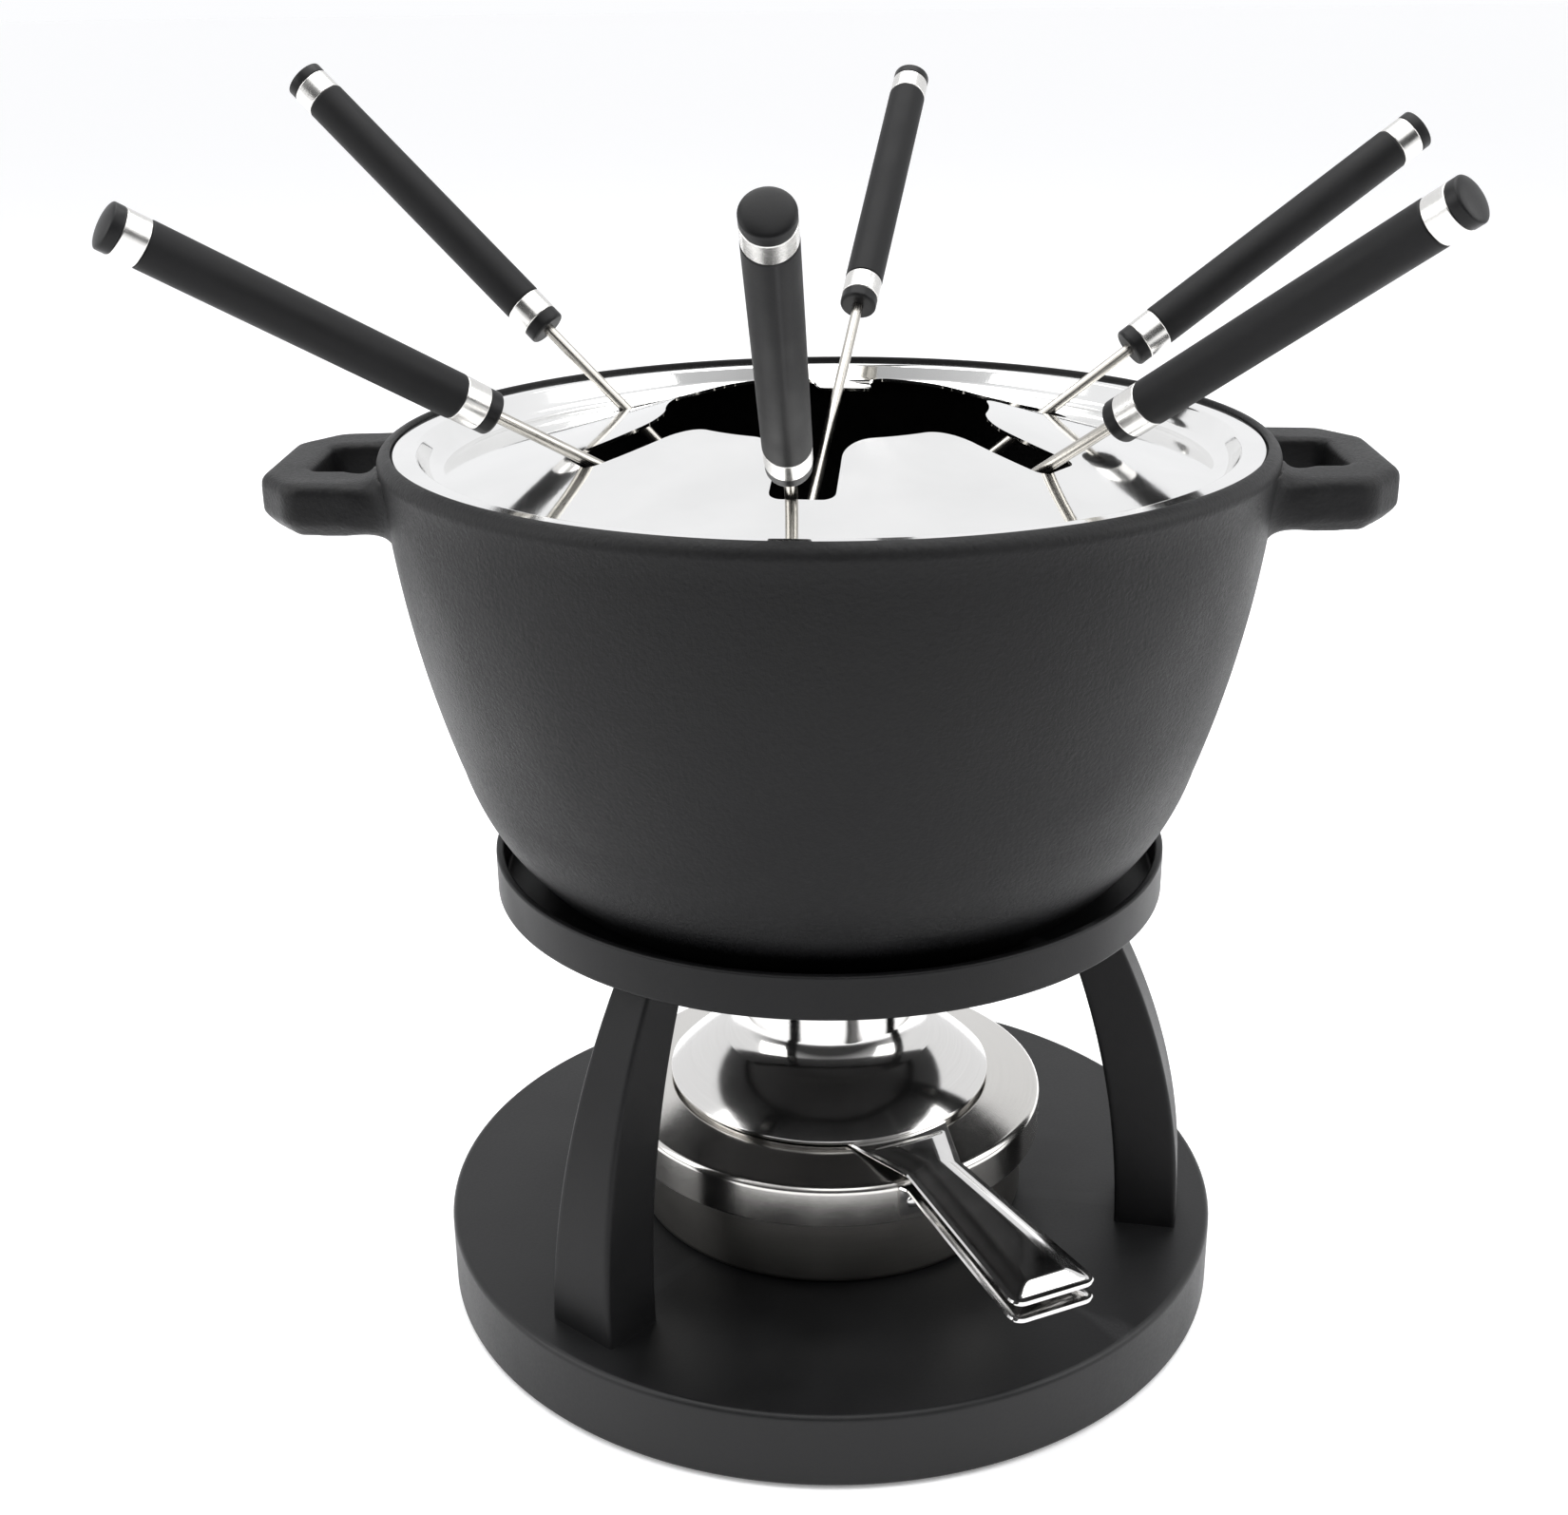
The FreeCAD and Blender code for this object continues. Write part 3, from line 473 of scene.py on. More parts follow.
def sinkHoles(look, height, flip):  # three countersunk holes; flip turns them to face up
    radius, wide = look["holeRadius"], look["sinkRadius"]
    way = -1 if flip else 1
    far = holeReach * way
    line = [(0, -way), (wide, -way), (wide, 0), (radius, (wide - radius) * way), (radius, far), (0, far)]
    zinc = finishes["screw_zinc"]
    return copiesMesh(turnedMesh(line, zinc, 32), {**screwSet, "circle": look["screwCircle"],
            "height": height}, zinc)


def makeBoard():
    low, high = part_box("base_board")
    radius, bottom, top = high.x / mm, low.z / mm, high.z / mm
    line = softened([(0, bottom), (radius - 12, bottom), (radius, bottom, boardLook["lowerRound"]),
            (radius, top, boardLook["edgeRound"]), (radius - 12, top), (0, top)])
    mesh = turnedMesh(line, finishes["board_lacquer"], boardLook["around"])
    mesh = cutAway(mesh, sinkHoles(boardLook, bottom + 0.1, False))
    return addPiece("standBoard", mesh, "stand", ["base_board"])


legLook = {"outer": (91.5, 66.55), "inner": (76.0, 55.05), "width": (20.0, 10.6), "outerBow": 6.7,
        "innerBow": 5.1, "edgeRound": 0.9, "levels": 44, "endHold": 0.25, "cornerSteps": 3}


def onArc(start, end, bow, height):  # distance from the axis to a leg's bowed side, at one height
    chord = math.dist(start, end)
    curve = (chord * chord / 4 + bow * bow) / (2 * bow)
    side = ((end[1] - start[1]) / chord, -(end[0] - start[0]) / chord)
    across = (start[0] + end[0]) / 2 + side[0] * (bow - curve)
    up = (start[1] + end[1]) / 2 + side[1] * (bow - curve)
    return across + math.sqrt(curve * curve - (height - up) ** 2)


def makeLegs():
    low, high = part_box("leg_1")
    bottom, top = low.z / mm, high.z / mm
    outerEnds = ((legLook["outer"][0], bottom), (legLook["outer"][1], top))
    innerEnds = ((legLook["inner"][0], bottom), (legLook["inner"][1], top))
    levels, hold = legLook["levels"], legLook["endHold"]
    heights = [bottom + (top - bottom) * k / levels for k in range(1, levels)]
    heights = [bottom, bottom + hold] + heights + [top - hold, top]
    rows = []
    for height in heights:
        share = (height - bottom) / (top - bottom)
        outer = onArc(*outerEnds, legLook["outerBow"], height)
        inner = onArc(*innerEnds, legLook["innerBow"], height)
        half = (legLook["width"][0] + share * (legLook["width"][1] - legLook["width"][0])) / 2
        size = legLook["edgeRound"]
        row = []
        for x, y, turn in ((outer, half, 0), (inner, half, 90), (inner, -half, 180), (outer, -half, 270)):
            inX = size if x == inner else -size
            inY = -size if y > 0 else size
            for step in range(legLook["cornerSteps"] + 1):
                angle = math.radians(turn + 90 * step / legLook["cornerSteps"])
                row.append((x + inX + size * math.cos(angle), y + inY + size * math.sin(angle), height))
        holds = []
        for k, point in enumerate(row):  # close pairs of points keep the flat faces flat in shading
            holds.append(point)
            if k % (legLook["cornerSteps"] + 1) == legLook["cornerSteps"]:
                after = row[(k + 1) % len(row)]
                holds += [tuple(p + (q - p) * 0.05 for p, q in zip(point, after)),
                          tuple(p + (q - p) * 0.95 for p, q in zip(point, after))]
        rows.append(holds)
    leg = gridMesh(rows, finishes["leg_enamel"], closedRows=False)
    mesh = copiesMesh(leg, {**screwSet, "circle": 0.0, "height": 0.0}, finishes["leg_enamel"])
    creased(mesh)
    return addPiece("standLegs", mesh, "stand", ["leg_1", "leg_2", "leg_3"])


ringLook = {"wall": 2.0, "shelf": 2.0, "shelfInner": 52.55, "lowerRound": 0.8, "lipRound": 0.6, "around": 256,
            "holeRadius": 2.25, "sinkRadius": 3.7, "screwCircle": 60.8}


def makeRing():
    low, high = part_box("stand_ring")
    outer, bottom, top = high.x / mm, low.z / mm, high.z / mm
    wall, shelf, inner = ringLook["wall"], bottom + ringLook["shelf"], ringLook["shelfInner"]
    lip = ringLook["lipRound"]
    line = softened([(inner, bottom, 0.3), (outer, bottom, ringLook["lowerRound"]), (outer, top, lip),
            (outer - wall, top, lip), (outer - wall, shelf, 0.8), (inner, shelf, 0.3)], closed=True)
    mesh = turnedMesh(line, finishes["ring_enamel"], ringLook["around"])
    mesh = cutAway(mesh, sinkHoles(ringLook, shelf - 0.1, True))
    return addPiece("standRing", mesh, "stand", ["stand_ring"])


screwLook = {"foot": {"head": 4.7, "shank": 2.5, "length": 37.0, "circle": 83.75},
             "ring": {"head": 3.7, "shank": 2.0, "length": 18.0, "circle": 60.8},
             "key": 1.6, "keyDepth": 1.2}


def makeScrews(kind, node, name):
    look = screwLook[kind]
    low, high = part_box(node)
    up = kind == "foot"
    face = (low.z if up else high.z) / mm
    way = 1 if up else -1
    head, shank = look["head"], look["shank"]
    line = softened([(0, 0), (head, 0, 0.25), (shank, (head - shank) * way), (shank, look["length"] * way,
            0.4), (0, look["length"] * way)])
    body = turnedMesh(line, finishes["screw_zinc"], 48)
    key = turnedMesh([(0, -way), (screwLook["key"], -way), (screwLook["key"], screwLook["keyDepth"] * way),
            (0, screwLook["keyDepth"] * way)], finishes["screw_zinc"], 6)
    place = {**screwSet, "circle": look["circle"], "height": face}
    mesh = copiesMesh(cutAway(body, key), place, finishes["screw_zinc"])
    creased(mesh)
    return addPiece(name, mesh, "stand", [node])


makeBoard()
makeLegs()
makeRing()
makeScrews("foot", "foot_screws", "footScrews")
makeScrews("ring", "ring_screws", "ringScrews")
cadNodes["base_pad"].data.materials.clear()
cadNodes["base_pad"].data.materials.append(finishes["pad_foam"])
print("stand made")


potLook = {"voxel": 1.0, "foot": (65.5, 112.0), "belly": (89.3, 146.0), "bellyBow": 3.6,
        "neck": (103.0, 212.0), "sideBow": 2.1, "rim": (103.6, 216.8), "crest": 221.0, "crestBow": 0.13, "rimRound": 2.4,
        "lip": (100.7, 220.6), "ledge": (96.3, 219.2), "wall": 5.0, "floor": 117.0, "floorInner": 63.0,
        "rootSoftening": 30, "barSoftening": 2, "rootSink": 0.3, "rootDepth": 2.2, "around": 288,
        "barFrom": (101.0, 104.5), "barSide": (40, 50), "barHeight": (192, 200), "rootReach": (106, 112),
        "rootHeight": (216.5, 219), "skinDepth": 1.2, "loopFrom": 96, "loopSide": 47,
        "loopHeight": (194, 217.4)}


def potProfile():  # the casting's outline from the middle of its underside round to the middle of its floor
    look = potLook
    inBelly = (look["belly"][0] - look["wall"], look["belly"][1])
    top = (look["rim"][0] - look["rimRound"], look["crest"])
    line = [(0, look["foot"][1]), (look["foot"][0], look["foot"][1])]
    line += bowLine(look["foot"], look["belly"], look["bellyBow"], 24) + [look["belly"]]
    line += bowLine(look["belly"], look["neck"], look["sideBow"], 40) + [look["neck"], look["rim"]]
    line += bowLine(look["rim"], top, look["rimRound"] / 2, 8) + [top]
    line += bowLine(top, look["lip"], look["crestBow"], 5) + [look["lip"], (look["lip"][0], look["ledge"][1]),
            look["ledge"]]
    line += bowLine(look["ledge"], inBelly, -look["sideBow"], 40) + [inBelly]
    line += bowLine(inBelly, (look["floorInner"], look["floor"]), -look["bellyBow"], 24)
    line += [(look["floorInner"], look["floor"]), (0, look["floor"])]
    return np.array(line, float)


def ramp(values, low, high):
    share = np.clip((values - low) / (high - low), 0, 1)
    return share * share * (3 - 2 * share)


def makePot():  # the bowl is turned; the two loops are remeshed from the CAD casting and run into its wall
    source = cadNodes["pot"].data.copy()
    work = bmesh.new()
    work.from_mesh(source)
    bmesh.ops.remove_doubles(work, verts=work.verts, dist=0.01 * mm)
    work.to_mesh(source)
    work.free()
    carrier = bpy.data.objects.new("carrier", source)
    bpy.context.scene.collection.objects.link(carrier)
    modifier = carrier.modifiers.new("skin", "REMESH")
    modifier.mode = "VOXEL"
    modifier.voxel_size = potLook["voxel"] * mm
    mesh = plainMesh(carrier)
    count = len(mesh.vertices)
    spots = np.empty(count * 3)
    mesh.vertices.foreach_get("co", spots)
    spots = spots.reshape(-1, 3) / mm
    edges = np.empty(len(mesh.edges) * 2, np.int64)
    mesh.edges.foreach_get("vertices", edges)
    a, b = edges.reshape(-1, 2).T
    degree = np.bincount(a, minlength=count) + np.bincount(b, minlength=count)
    radius = np.hypot(spots[:, 0], spots[:, 1])
    side = np.abs(spots[:, 1])
    look = potLook
    bar = ramp(radius, *look["barFrom"]) * (1 - ramp(side, *look["barSide"])) * ramp(spots[:, 2],
            *look["barHeight"])
    root = bar * (1 - ramp(radius, *look["rootReach"])) * (1 - ramp(spots[:, 2], *look["rootHeight"]))

    def relax(amount, times):
        for _ in range(times):
            total = np.zeros((count, 3))
            for axis in range(3):
                total[:, axis] = np.bincount(a, spots[b, axis], count) + np.bincount(b, spots[a, axis], count)
            spots[:] += amount[:, None] * 0.5 * (total / degree[:, None] - spots)

    relax(bar, look["barSoftening"])
    relax(root, look["rootSoftening"])
    outline = potProfile()
    wall = outline[1:np.argmax(outline[:, 0]) + 1]
    radius = np.hypot(spots[:, 0], spots[:, 1])
    proud = radius - np.interp(spots[:, 2], wall[:, 1], wall[:, 0])
    sink = look["rootSink"] * (1 - np.clip(proud / (2 * look["rootSink"]), 0, 1))
    spots[:, :2] *= ((radius - sink) / np.maximum(radius, 1))[:, None]  # the loop dives under the bowl's skin
    keep = (proud > -look["skinDepth"]) & (radius > look["loopFrom"]) & (side < look["loopSide"])
    keep &= (spots[:, 2] > look["loopHeight"][0]) & (spots[:, 2] < look["loopHeight"][1])
    mesh.vertices.foreach_set("co", (spots * mm).ravel())
    work = bmesh.new()
    work.from_mesh(mesh)
    work.verts.ensure_lookup_table()
    bmesh.ops.delete(work, geom=[vert for vert in work.verts if not keep[vert.index]], context="VERTS")
    rim = [edge for edge in work.edges if edge.is_boundary]
    inward = bmesh.ops.extrude_edge_only(work, edges=rim)["geom"]
    for vert in (item for item in inward if isinstance(item, bmesh.types.BMVert)):
        flat = Vector((vert.co.x, vert.co.y, 0))
        vert.co -= flat.normalized() * look["rootDepth"] * mm
    bmesh.ops.holes_fill(work, edges=[edge for edge in work.edges if edge.is_boundary], sides=0)
    bmesh.ops.recalc_face_normals(work, faces=work.faces)
    for face in work.faces:
        face.smooth = True
    work.to_mesh(mesh)
    work.free()
    bowl = turnedMesh([tuple(point) for point in outline], finishes["pot_enamel"], look["around"], 40)
    whole = together(bowl, mesh)
    creased(whole, 50)
    return addPiece("potCasting", whole, "pot", ["pot"])


potPiece = makePot()
print("pot made,", len(potPiece.data.polygons), "faces")


guardLook = {"notches": 6, "firstNotch": -155.0, "notchEnd": 62.0, "halfWidth": 7.0, "cornerRound": 3.0,
        "mouth": 37.5, "tongueRound": 9.5, "flange": 94.9, "stepFoot": 91.7, "stepDrop": 6.2,
        "notchRise": -0.5, "tipRise": 7.5, "tip": 35.5, "sheet": 0.8, "seat": 219.2, "domeRows": 30,
        "edgeHold": 0.012, "channelRound": 7.0, "channelRun": 7.0}


def guardMouth():  # outline of the mouth, one sector after another
    look = guardLook
    half, end, corner = look["halfWidth"], look["notchEnd"], look["cornerRound"]
    mouth, tongue = look["mouth"], look["tongueRound"]
    far = mouth + tongue
    centreY = half + tongue
    centreX = math.sqrt(far * far - centreY * centreY)
    tangent = math.atan2(centreY, centreX)
    sector = math.pi / look["notches"]
    quarter = [(mouth * math.cos(t), mouth * math.sin(t)) for t in np.linspace(sector, tangent, 9)[:-1]]
    quarter += [(centreX + tongue * math.cos(t), centreY + tongue * math.sin(t))
                for t in np.linspace(tangent + math.pi, 1.5 * math.pi, 20)[:-1]]
    quarter += [(x, half) for x in np.linspace(centreX, end - corner, 12)[:-1]]
    quarter += [(end - corner + corner * math.cos(t), half - corner + corner * math.sin(t))
                for t in np.linspace(math.pi / 2, 0, 7)]
    quarter += [(end, (half - corner) * 0.5), (end, 0.0)]
    outline = [(x, -y) for x, y in quarter] + [(x, y) for x, y in reversed(quarter[:-1])][:-1]
    spots = []
    for k in range(look["notches"]):
        turn = math.radians(look["firstNotch"]) + 2 * sector * k
        spots += [(x * math.cos(turn) - y * math.sin(turn), x * math.sin(turn) + y * math.cos(turn))
                  for x, y in outline]
    return np.array(spots)


def makeGuard():
    look = guardLook
    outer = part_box("splatter_guard")[1].x / mm
    thin = look["sheet"]
    flangeTop = look["seat"] + thin
    foot = (look["stepFoot"], flangeTop - look["stepDrop"])
    notch = (look["notchEnd"], flangeTop + look["notchRise"])
    tip = (look["tip"], flangeTop + look["tipRise"])
    arc = np.array([[2 * x, 2 * z, 1.0] for x, z in (foot, notch, tip)])
    cx, cz, rest = np.linalg.solve(arc, np.array([x * x + z * z for x, z in (foot, notch, tip)]))
    bend = math.sqrt(rest + cx * cx + cz * cz)
    lift = 1 if cz < notch[1] else -1

    def dome(r):
        return cz + lift * np.sqrt(bend * bend - (r - cx) ** 2)

    outline = guardMouth()
    near = np.hypot(outline[:, 0], outline[:, 1])
    unit = outline / near[:, None]
    rows = []

    def addRow(radius, height):
        rows.append(np.column_stack([unit * np.reshape(radius, (-1, 1)), np.broadcast_to(height,
                near.shape)]))

    shares = np.linspace(0, 1, look["domeRows"])[1:]
    limit = look["stepFoot"] - look["channelRun"]
    for share in [0, look["edgeHold"], *shares]:
        radius = near + (limit - near) * share
        addRow(radius, dome(radius))
    deep = look["channelRound"]
    rim = softened([(limit - 1, float(dome(limit - 1))), foot + (deep,), (look["flange"], flangeTop, 1.1),
            (outer, flangeTop, 0.28), (outer, flangeTop - thin, 0.28), (look["flange"] + 0.35,
            flangeTop - thin, 1.5), (foot[0] + 0.35, foot[1] - thin, deep), (limit - 1,
            float(dome(limit - 1)) - thin)], steps=9)
    for r, z in rim[1:-1]:
        addRow(np.full(near.shape, r), z)
    for share in [*shares[::-1], look["edgeHold"], 0]:
        radius = near + (limit - near) * share
        addRow(radius, dome(radius) - thin)
    mesh = gridMesh(rows, finishes["guard_steel"])
    return addPiece("splatterGuard", mesh, "guard", ["splatter_guard"])


makeGuard()
print("guard made")


forkLook = {"around": 48, "shaftAround": 20, "collarRound": 0.8, "ferruleRound": 0.25, "gripRound": 0.5,
            "collar": 4.85, "ferrule": (3.98, 4.98), "grip": (3.9, 5.05), "cap": (4.7, 4.95), "capCrown": 1.0,
           "shaft": 1.4, "headLength": 27.0, "headHalf": 2.5, "headThick": 1.4,
            "tineLength": 18.0, "slit": 0.9, "point": 4.0}


def nodeSpots(node):
    mesh = cadNodes[node].data
    spots = np.empty(len(mesh.vertices) * 3)
    mesh.vertices.foreach_get("co", spots)
    return spots.reshape(-1, 3) / mm


def forkAxis(number):  # a point on the fork's line, the way to its cap, and the way across its tines
    along = np.array(slides["fork_%d" % number]["axis"], float)
    along /= np.linalg.norm(along)
    across = np.array((-along[1], along[0], 0.0))
    across /= np.linalg.norm(across)
    third = np.cross(along, across)
    grip = nodeSpots("fork_%d_grip" % number)
    a, b = grip @ across, grip @ third
    base = across * (a.min() + a.max()) / 2 + third * (b.min() + b.max()) / 2
    shaft = nodeSpots("fork_%d_shaft" % number)
    reach = shaft @ along
    tips = shaft[reach < reach.min() + 15] - base
    pair = np.stack([tips @ across, tips @ third], 1)
    ways = np.linalg.eigh(pair.T @ pair)[1]
    wide = across * ways[0, 1] + third * ways[1, 1]
    return base, along, wide


def reachOf(node, along):
    reach = nodeSpots(node) @ along
    return float(reach.min()), float(reach.max())


def forkHead(tip, neck):  # flat head with two pointed tines, in the fork's own frame
    look = forkLook
    half, slit = look["headHalf"], look["slit"]
    work = bmesh.new()
    levels = [(tip, 0.0), (tip + 0.6, 0.16), (tip + look["point"], 1.0), (tip + look["tineLength"] * 0.6,
            1.0), (tip + look["tineLength"], 1.0)]
    loops = {}
    for side in (-1, 1):
        prong = (half + slit) / 2 * side
        wide = (half - slit) / 2
        for k, (level, share) in enumerate(levels):
            for j, (x, y) in enumerate(((-1, -1), (1, -1), (1, 1), (-1, 1))):
                splay = 0.25 * side * max(0.0, 1 - (level - tip) / look["tineLength"])
                thick = look["headThick"] / 2 * (0.35 + 0.65 * min(1, share * 1.2))
                loops[side, k, j] = work.verts.new((prong + splay + x * wide * max(share, 0.12), y * thick,
                        level))
        for k in range(len(levels) - 1):
            for j in range(4):
                work.faces.new([loops[side, k, j], loops[side, k, (j + 1) % 4], loops[side, k + 1,
                        (j + 1) % 4], loops[side, k + 1, j]])
        work.faces.new([loops[side, 0, j] for j in (3, 2, 1, 0)])
        work.faces.new([loops[side, len(levels) - 1, j] for j in (0, 1, 2, 3)])
    fork, shaft = tip + look["tineLength"], look["shaft"]
    palm = [(fork - 0.4, half), (fork + 1.0, half), (neck - 5.5, half), (neck - 3.5, half * 0.86),
            (neck, shaft * 0.95), (neck + 2, shaft * 0.7)]
    rings = []
    for level, wide in palm:
        thick = look["headThick"] / 2
        rings.append([work.verts.new((x * wide, y * thick, level)) for x, y in ((-1, -1), (1, -1), (1, 1),
                (-1, 1))])
    for low, high in zip(rings[:-1], rings[1:]):
        for j in range(4):
            work.faces.new([low[j], low[(j + 1) % 4], high[(j + 1) % 4], high[j]])
    work.faces.new(rings[0][::-1])
    work.faces.new(rings[-1])
    bmesh.ops.recalc_face_normals(work, faces=work.faces)
    bmesh.ops.bevel(work, geom=[edge for edge in work.edges if edge.calc_face_angle(0) > 0.9], offset=0.22,
            segments=2, profile=0.6, affect="EDGES", clamp_overlap=True)
    bmesh.ops.scale(work, vec=(mm, mm, mm), verts=work.verts)
    for face in work.faces:
        face.smooth = True
    mesh = bpy.data.meshes.new("head")
    work.to_mesh(mesh)
    work.free()
    mesh.materials.append(finishes["shaft_steel"])
    return mesh


def makeFork(number):
    look = forkLook
    base, along, wide = forkAxis(number)
    place = Matrix((Vector(wide), Vector(np.cross(along, wide)), Vector(along))).transposed().to_4x4()
    place.translation = Vector(base) * mm

    def add(part, line, finish, around):
        mesh = turnedMesh(line, finishes[finish], around)
        mesh.transform(place)
        label = "".join(word.capitalize() for word in part.split("_"))
        addPiece("fork%d%s" % (number, label), mesh, "fork_%d" % number,
                ["fork_%d_%s" % (number, part)])

    shaft = look["shaft"]
    low, high = reachOf("fork_%d_collar" % number, along)
    radius = look["collar"]
    add("collar", softened([(shaft, low, 0.15), (radius, low, look["collarRound"]), (radius, high, 0.2),
            (shaft, high)], closed=True), "cap_plastic", look["around"])
    inner, outer = look["ferrule"]
    soft = look["ferruleRound"]
    edges = {}
    for part in ("lower_ferrule", "upper_ferrule"):
        low, high = edges[part] = reachOf("fork_%d_%s" % (number, part), along)
        add(part, softened([(inner, low), (outer, low, soft), (outer, high, soft), (inner, high)], closed=True),
            "ferrule_steel", look["around"])
    low, high = reachOf("fork_%d_grip" % number, along)
    start, end = edges["lower_ferrule"][1], edges["upper_ferrule"][0]
    inner, outer = look["grip"]
    soft = look["gripRound"]
    add("grip", softened([(0, low), (inner, low), (inner, start), (outer, start, soft), (outer, end, soft),
            (inner, end), (inner, high), (0, high)]), "grip_coating", look["around"])
    low, high = reachOf("fork_%d_cap" % number, along)
    (inner, outer), rise = look["cap"], look["capCrown"]
    crown = [(outer * math.cos(t), high - rise + rise * math.sin(t)) for t in np.linspace(0, math.pi / 2, 12)]
    add("cap", [(0, low), (inner, low), (outer, low + 0.25), (outer, low + 0.5)] + crown[:-1] + [(0, high)],
        "cap_plastic", look["around"])
    tip, top = reachOf("fork_%d_shaft" % number, along)
    neck = tip + look["headLength"]
    line = softened([(0, neck - 1), (shaft * 0.5, neck - 1), (shaft, neck + 1.5), (shaft, neck + 3),
            (shaft, top), (0, top)])
    rod = turnedMesh(line, finishes["shaft_steel"], look["shaftAround"])
    mesh = together(rod, forkHead(tip, neck))
    mesh.transform(place)
    creased(mesh, 40)
    addPiece("fork%dShaft" % number, mesh, "fork_%d" % number, ["fork_%d_shaft" % number])


for number in range(1, 7):
    makeFork(number)
print("forks made")


burnerLook = {"around": 192, "angle": -64.0, "cup": 50.5, "cupWall": 1.0, "cupRim": 52.8, "cupCorner": 2.0,
        "tin": 46.0, "tinWall": 0.5, "tinBead": 0.8, "lid": 55.0, "lidSheet": 0.9, "lidCorner": 50.0,
        "lidRound": 1.9, "shoulder": 42.0, "lidTop": 52.6, "neck": 20.8, "hatSheet": 0.8, "hatRim": 41.3,
        "crease": (27.0, 64.2), "throat": (22.0, 70.9), "convexBow": 0.7, "concaveBow": 0.9, "disc": 39.8,
        "holes": 8, "hole": 3.2, "holeDepth": 4, "holeCircle": 31.0}


def makeCup():
    look = burnerLook
    low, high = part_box("burner_cup")
    bottom, rim = low.z / mm, high.z / mm
    outer, wall, edge, corner = look["cup"], look["cupWall"], look["cupRim"], look["cupCorner"]
    line = softened([(0, bottom), (outer - 8, bottom), (outer, bottom, corner), (outer, rim - 1.2, 0.6),
            (edge, rim - 1.0, 0.35), (edge, rim, 0.35), (outer - wall, rim, 0.5),
            (outer - wall, bottom + wall, corner), (outer - 9, bottom + wall), (0, bottom + wall)])
    addPiece("burnerCup", turnedMesh(line, finishes["cup_steel"], look["around"]), "burner",
             ["burner_cup"])


def makeTin():
    look = burnerLook
    low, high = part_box("fuel_tin")
    bottom, top = low.z / mm, high.z / mm
    outer, wall, bead = look["tin"], look["tinWall"], look["tinBead"]
    line = softened([(0, bottom + 0.6), (outer - 5, bottom + 0.6, 0.5), (outer - 4, bottom, 0.3),
            (outer, bottom, 0.5), (outer, top - 1.4, 0.4), (outer + bead, top - 1.0, 0.3),
            (outer + bead, top, 0.35), (outer - wall, top, 0.2), (outer - wall, bottom + 1.2, 0.8),
            (0, bottom + 1.2)])
    mesh = turnedMesh(line, finishes["tin_plate"], look["around"])
    addPiece("fuelTin", mesh, "burner", ["fuel_tin"])
    low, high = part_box("fuel_paste")
    under, level, side = low.z / mm + 0.8, high.z / mm, outer - wall - 0.1
    line = softened([(0, under), (side, under), (side, level, 0.3), (outer - 3, level - 0.7, 1.5),
            (outer - 14, level - 1.1, 4.0), (0, level - 0.9)])
    addPiece("fuelPaste", turnedMesh(line, finishes["fuel_gel"], 96), "burner", ["fuel_paste"])


def airHoles(height):
    look = burnerLook
    steel, depth = finishes["lid_steel"], look["holeDepth"]
    hole = turnedMesh([(0, -depth), (look["hole"], -depth), (look["hole"], depth), (0, depth)], steel, 28)
    return copiesMesh(hole, {"copies": look["holes"], "circle": look["holeCircle"], "height": height,
            "firstAngle": look["angle"], "stepAngle": 360 / look["holes"]}, steel)


def makeLid():
    look = burnerLook
    low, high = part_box("burner_lid")
    bottom, top = low.z / mm, high.z / mm
    outer, thin, corner, shoulder = look["lid"], look["lidSheet"], look["lidCorner"], look["lidTop"]
    bend = look["lidRound"]
    line = softened([(outer, bottom, 0.25), (outer, corner, bend), (look["shoulder"], shoulder, 4.0),
            (look["neck"], shoulder, 1.2), (look["neck"], top, 0.25), (look["neck"] - thin, top, 0.25),
            (look["neck"] - thin, shoulder - thin, 0.8), (look["shoulder"], shoulder - thin, 4.0),
            (outer - thin, corner - thin, bend - thin / 2), (outer - thin, bottom, 0.25)], closed=True,
            steps=8)
    mesh = turnedMesh(line, finishes["lid_steel"], look["around"])
    mesh = cutAway(mesh, airHoles(shoulder))
    addPiece("burnerLid", mesh, "lid", ["burner_lid"])


def makeHat():
    look = burnerLook
    low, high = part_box("regulator_hat")
    bottom, mouth = low.z / mm, high.z / mm
    thin, rim, crease, throat = look["hatSheet"], look["hatRim"], look["crease"], look["throat"]
    rimTop = (rim, bottom + thin)
    inThroat = (throat[0] - thin, throat[1])
    inCrease = (crease[0] - thin / 2, crease[1] - thin)
    inRim = (rim - 2 * thin, bottom + thin)
    line = [(rim, bottom, 0.2), (rim, bottom + thin, 0.3)]
    line += bowLine(rimTop, crease, look["convexBow"], 14) + [crease + (0.8,)]
    line += bowLine(crease, throat, -look["concaveBow"], 12) + [throat + (1.4,)]
    line += [(throat[0], mouth - 1.2), (throat[0], mouth, 0.3), (throat[0] - thin, mouth, 0.3), inThroat]
    line += bowLine(inThroat, inCrease, look["concaveBow"], 12) + [inCrease]
    line += bowLine(inCrease, inRim, -look["convexBow"], 12) + [inRim, (rim - 2 * thin, bottom)]
    mesh = turnedMesh(softened(line, closed=True, steps=6), finishes["hat_steel"], look["around"], 40)
    addPiece("regulatorHat", mesh, "regulator", ["regulator_hat"])


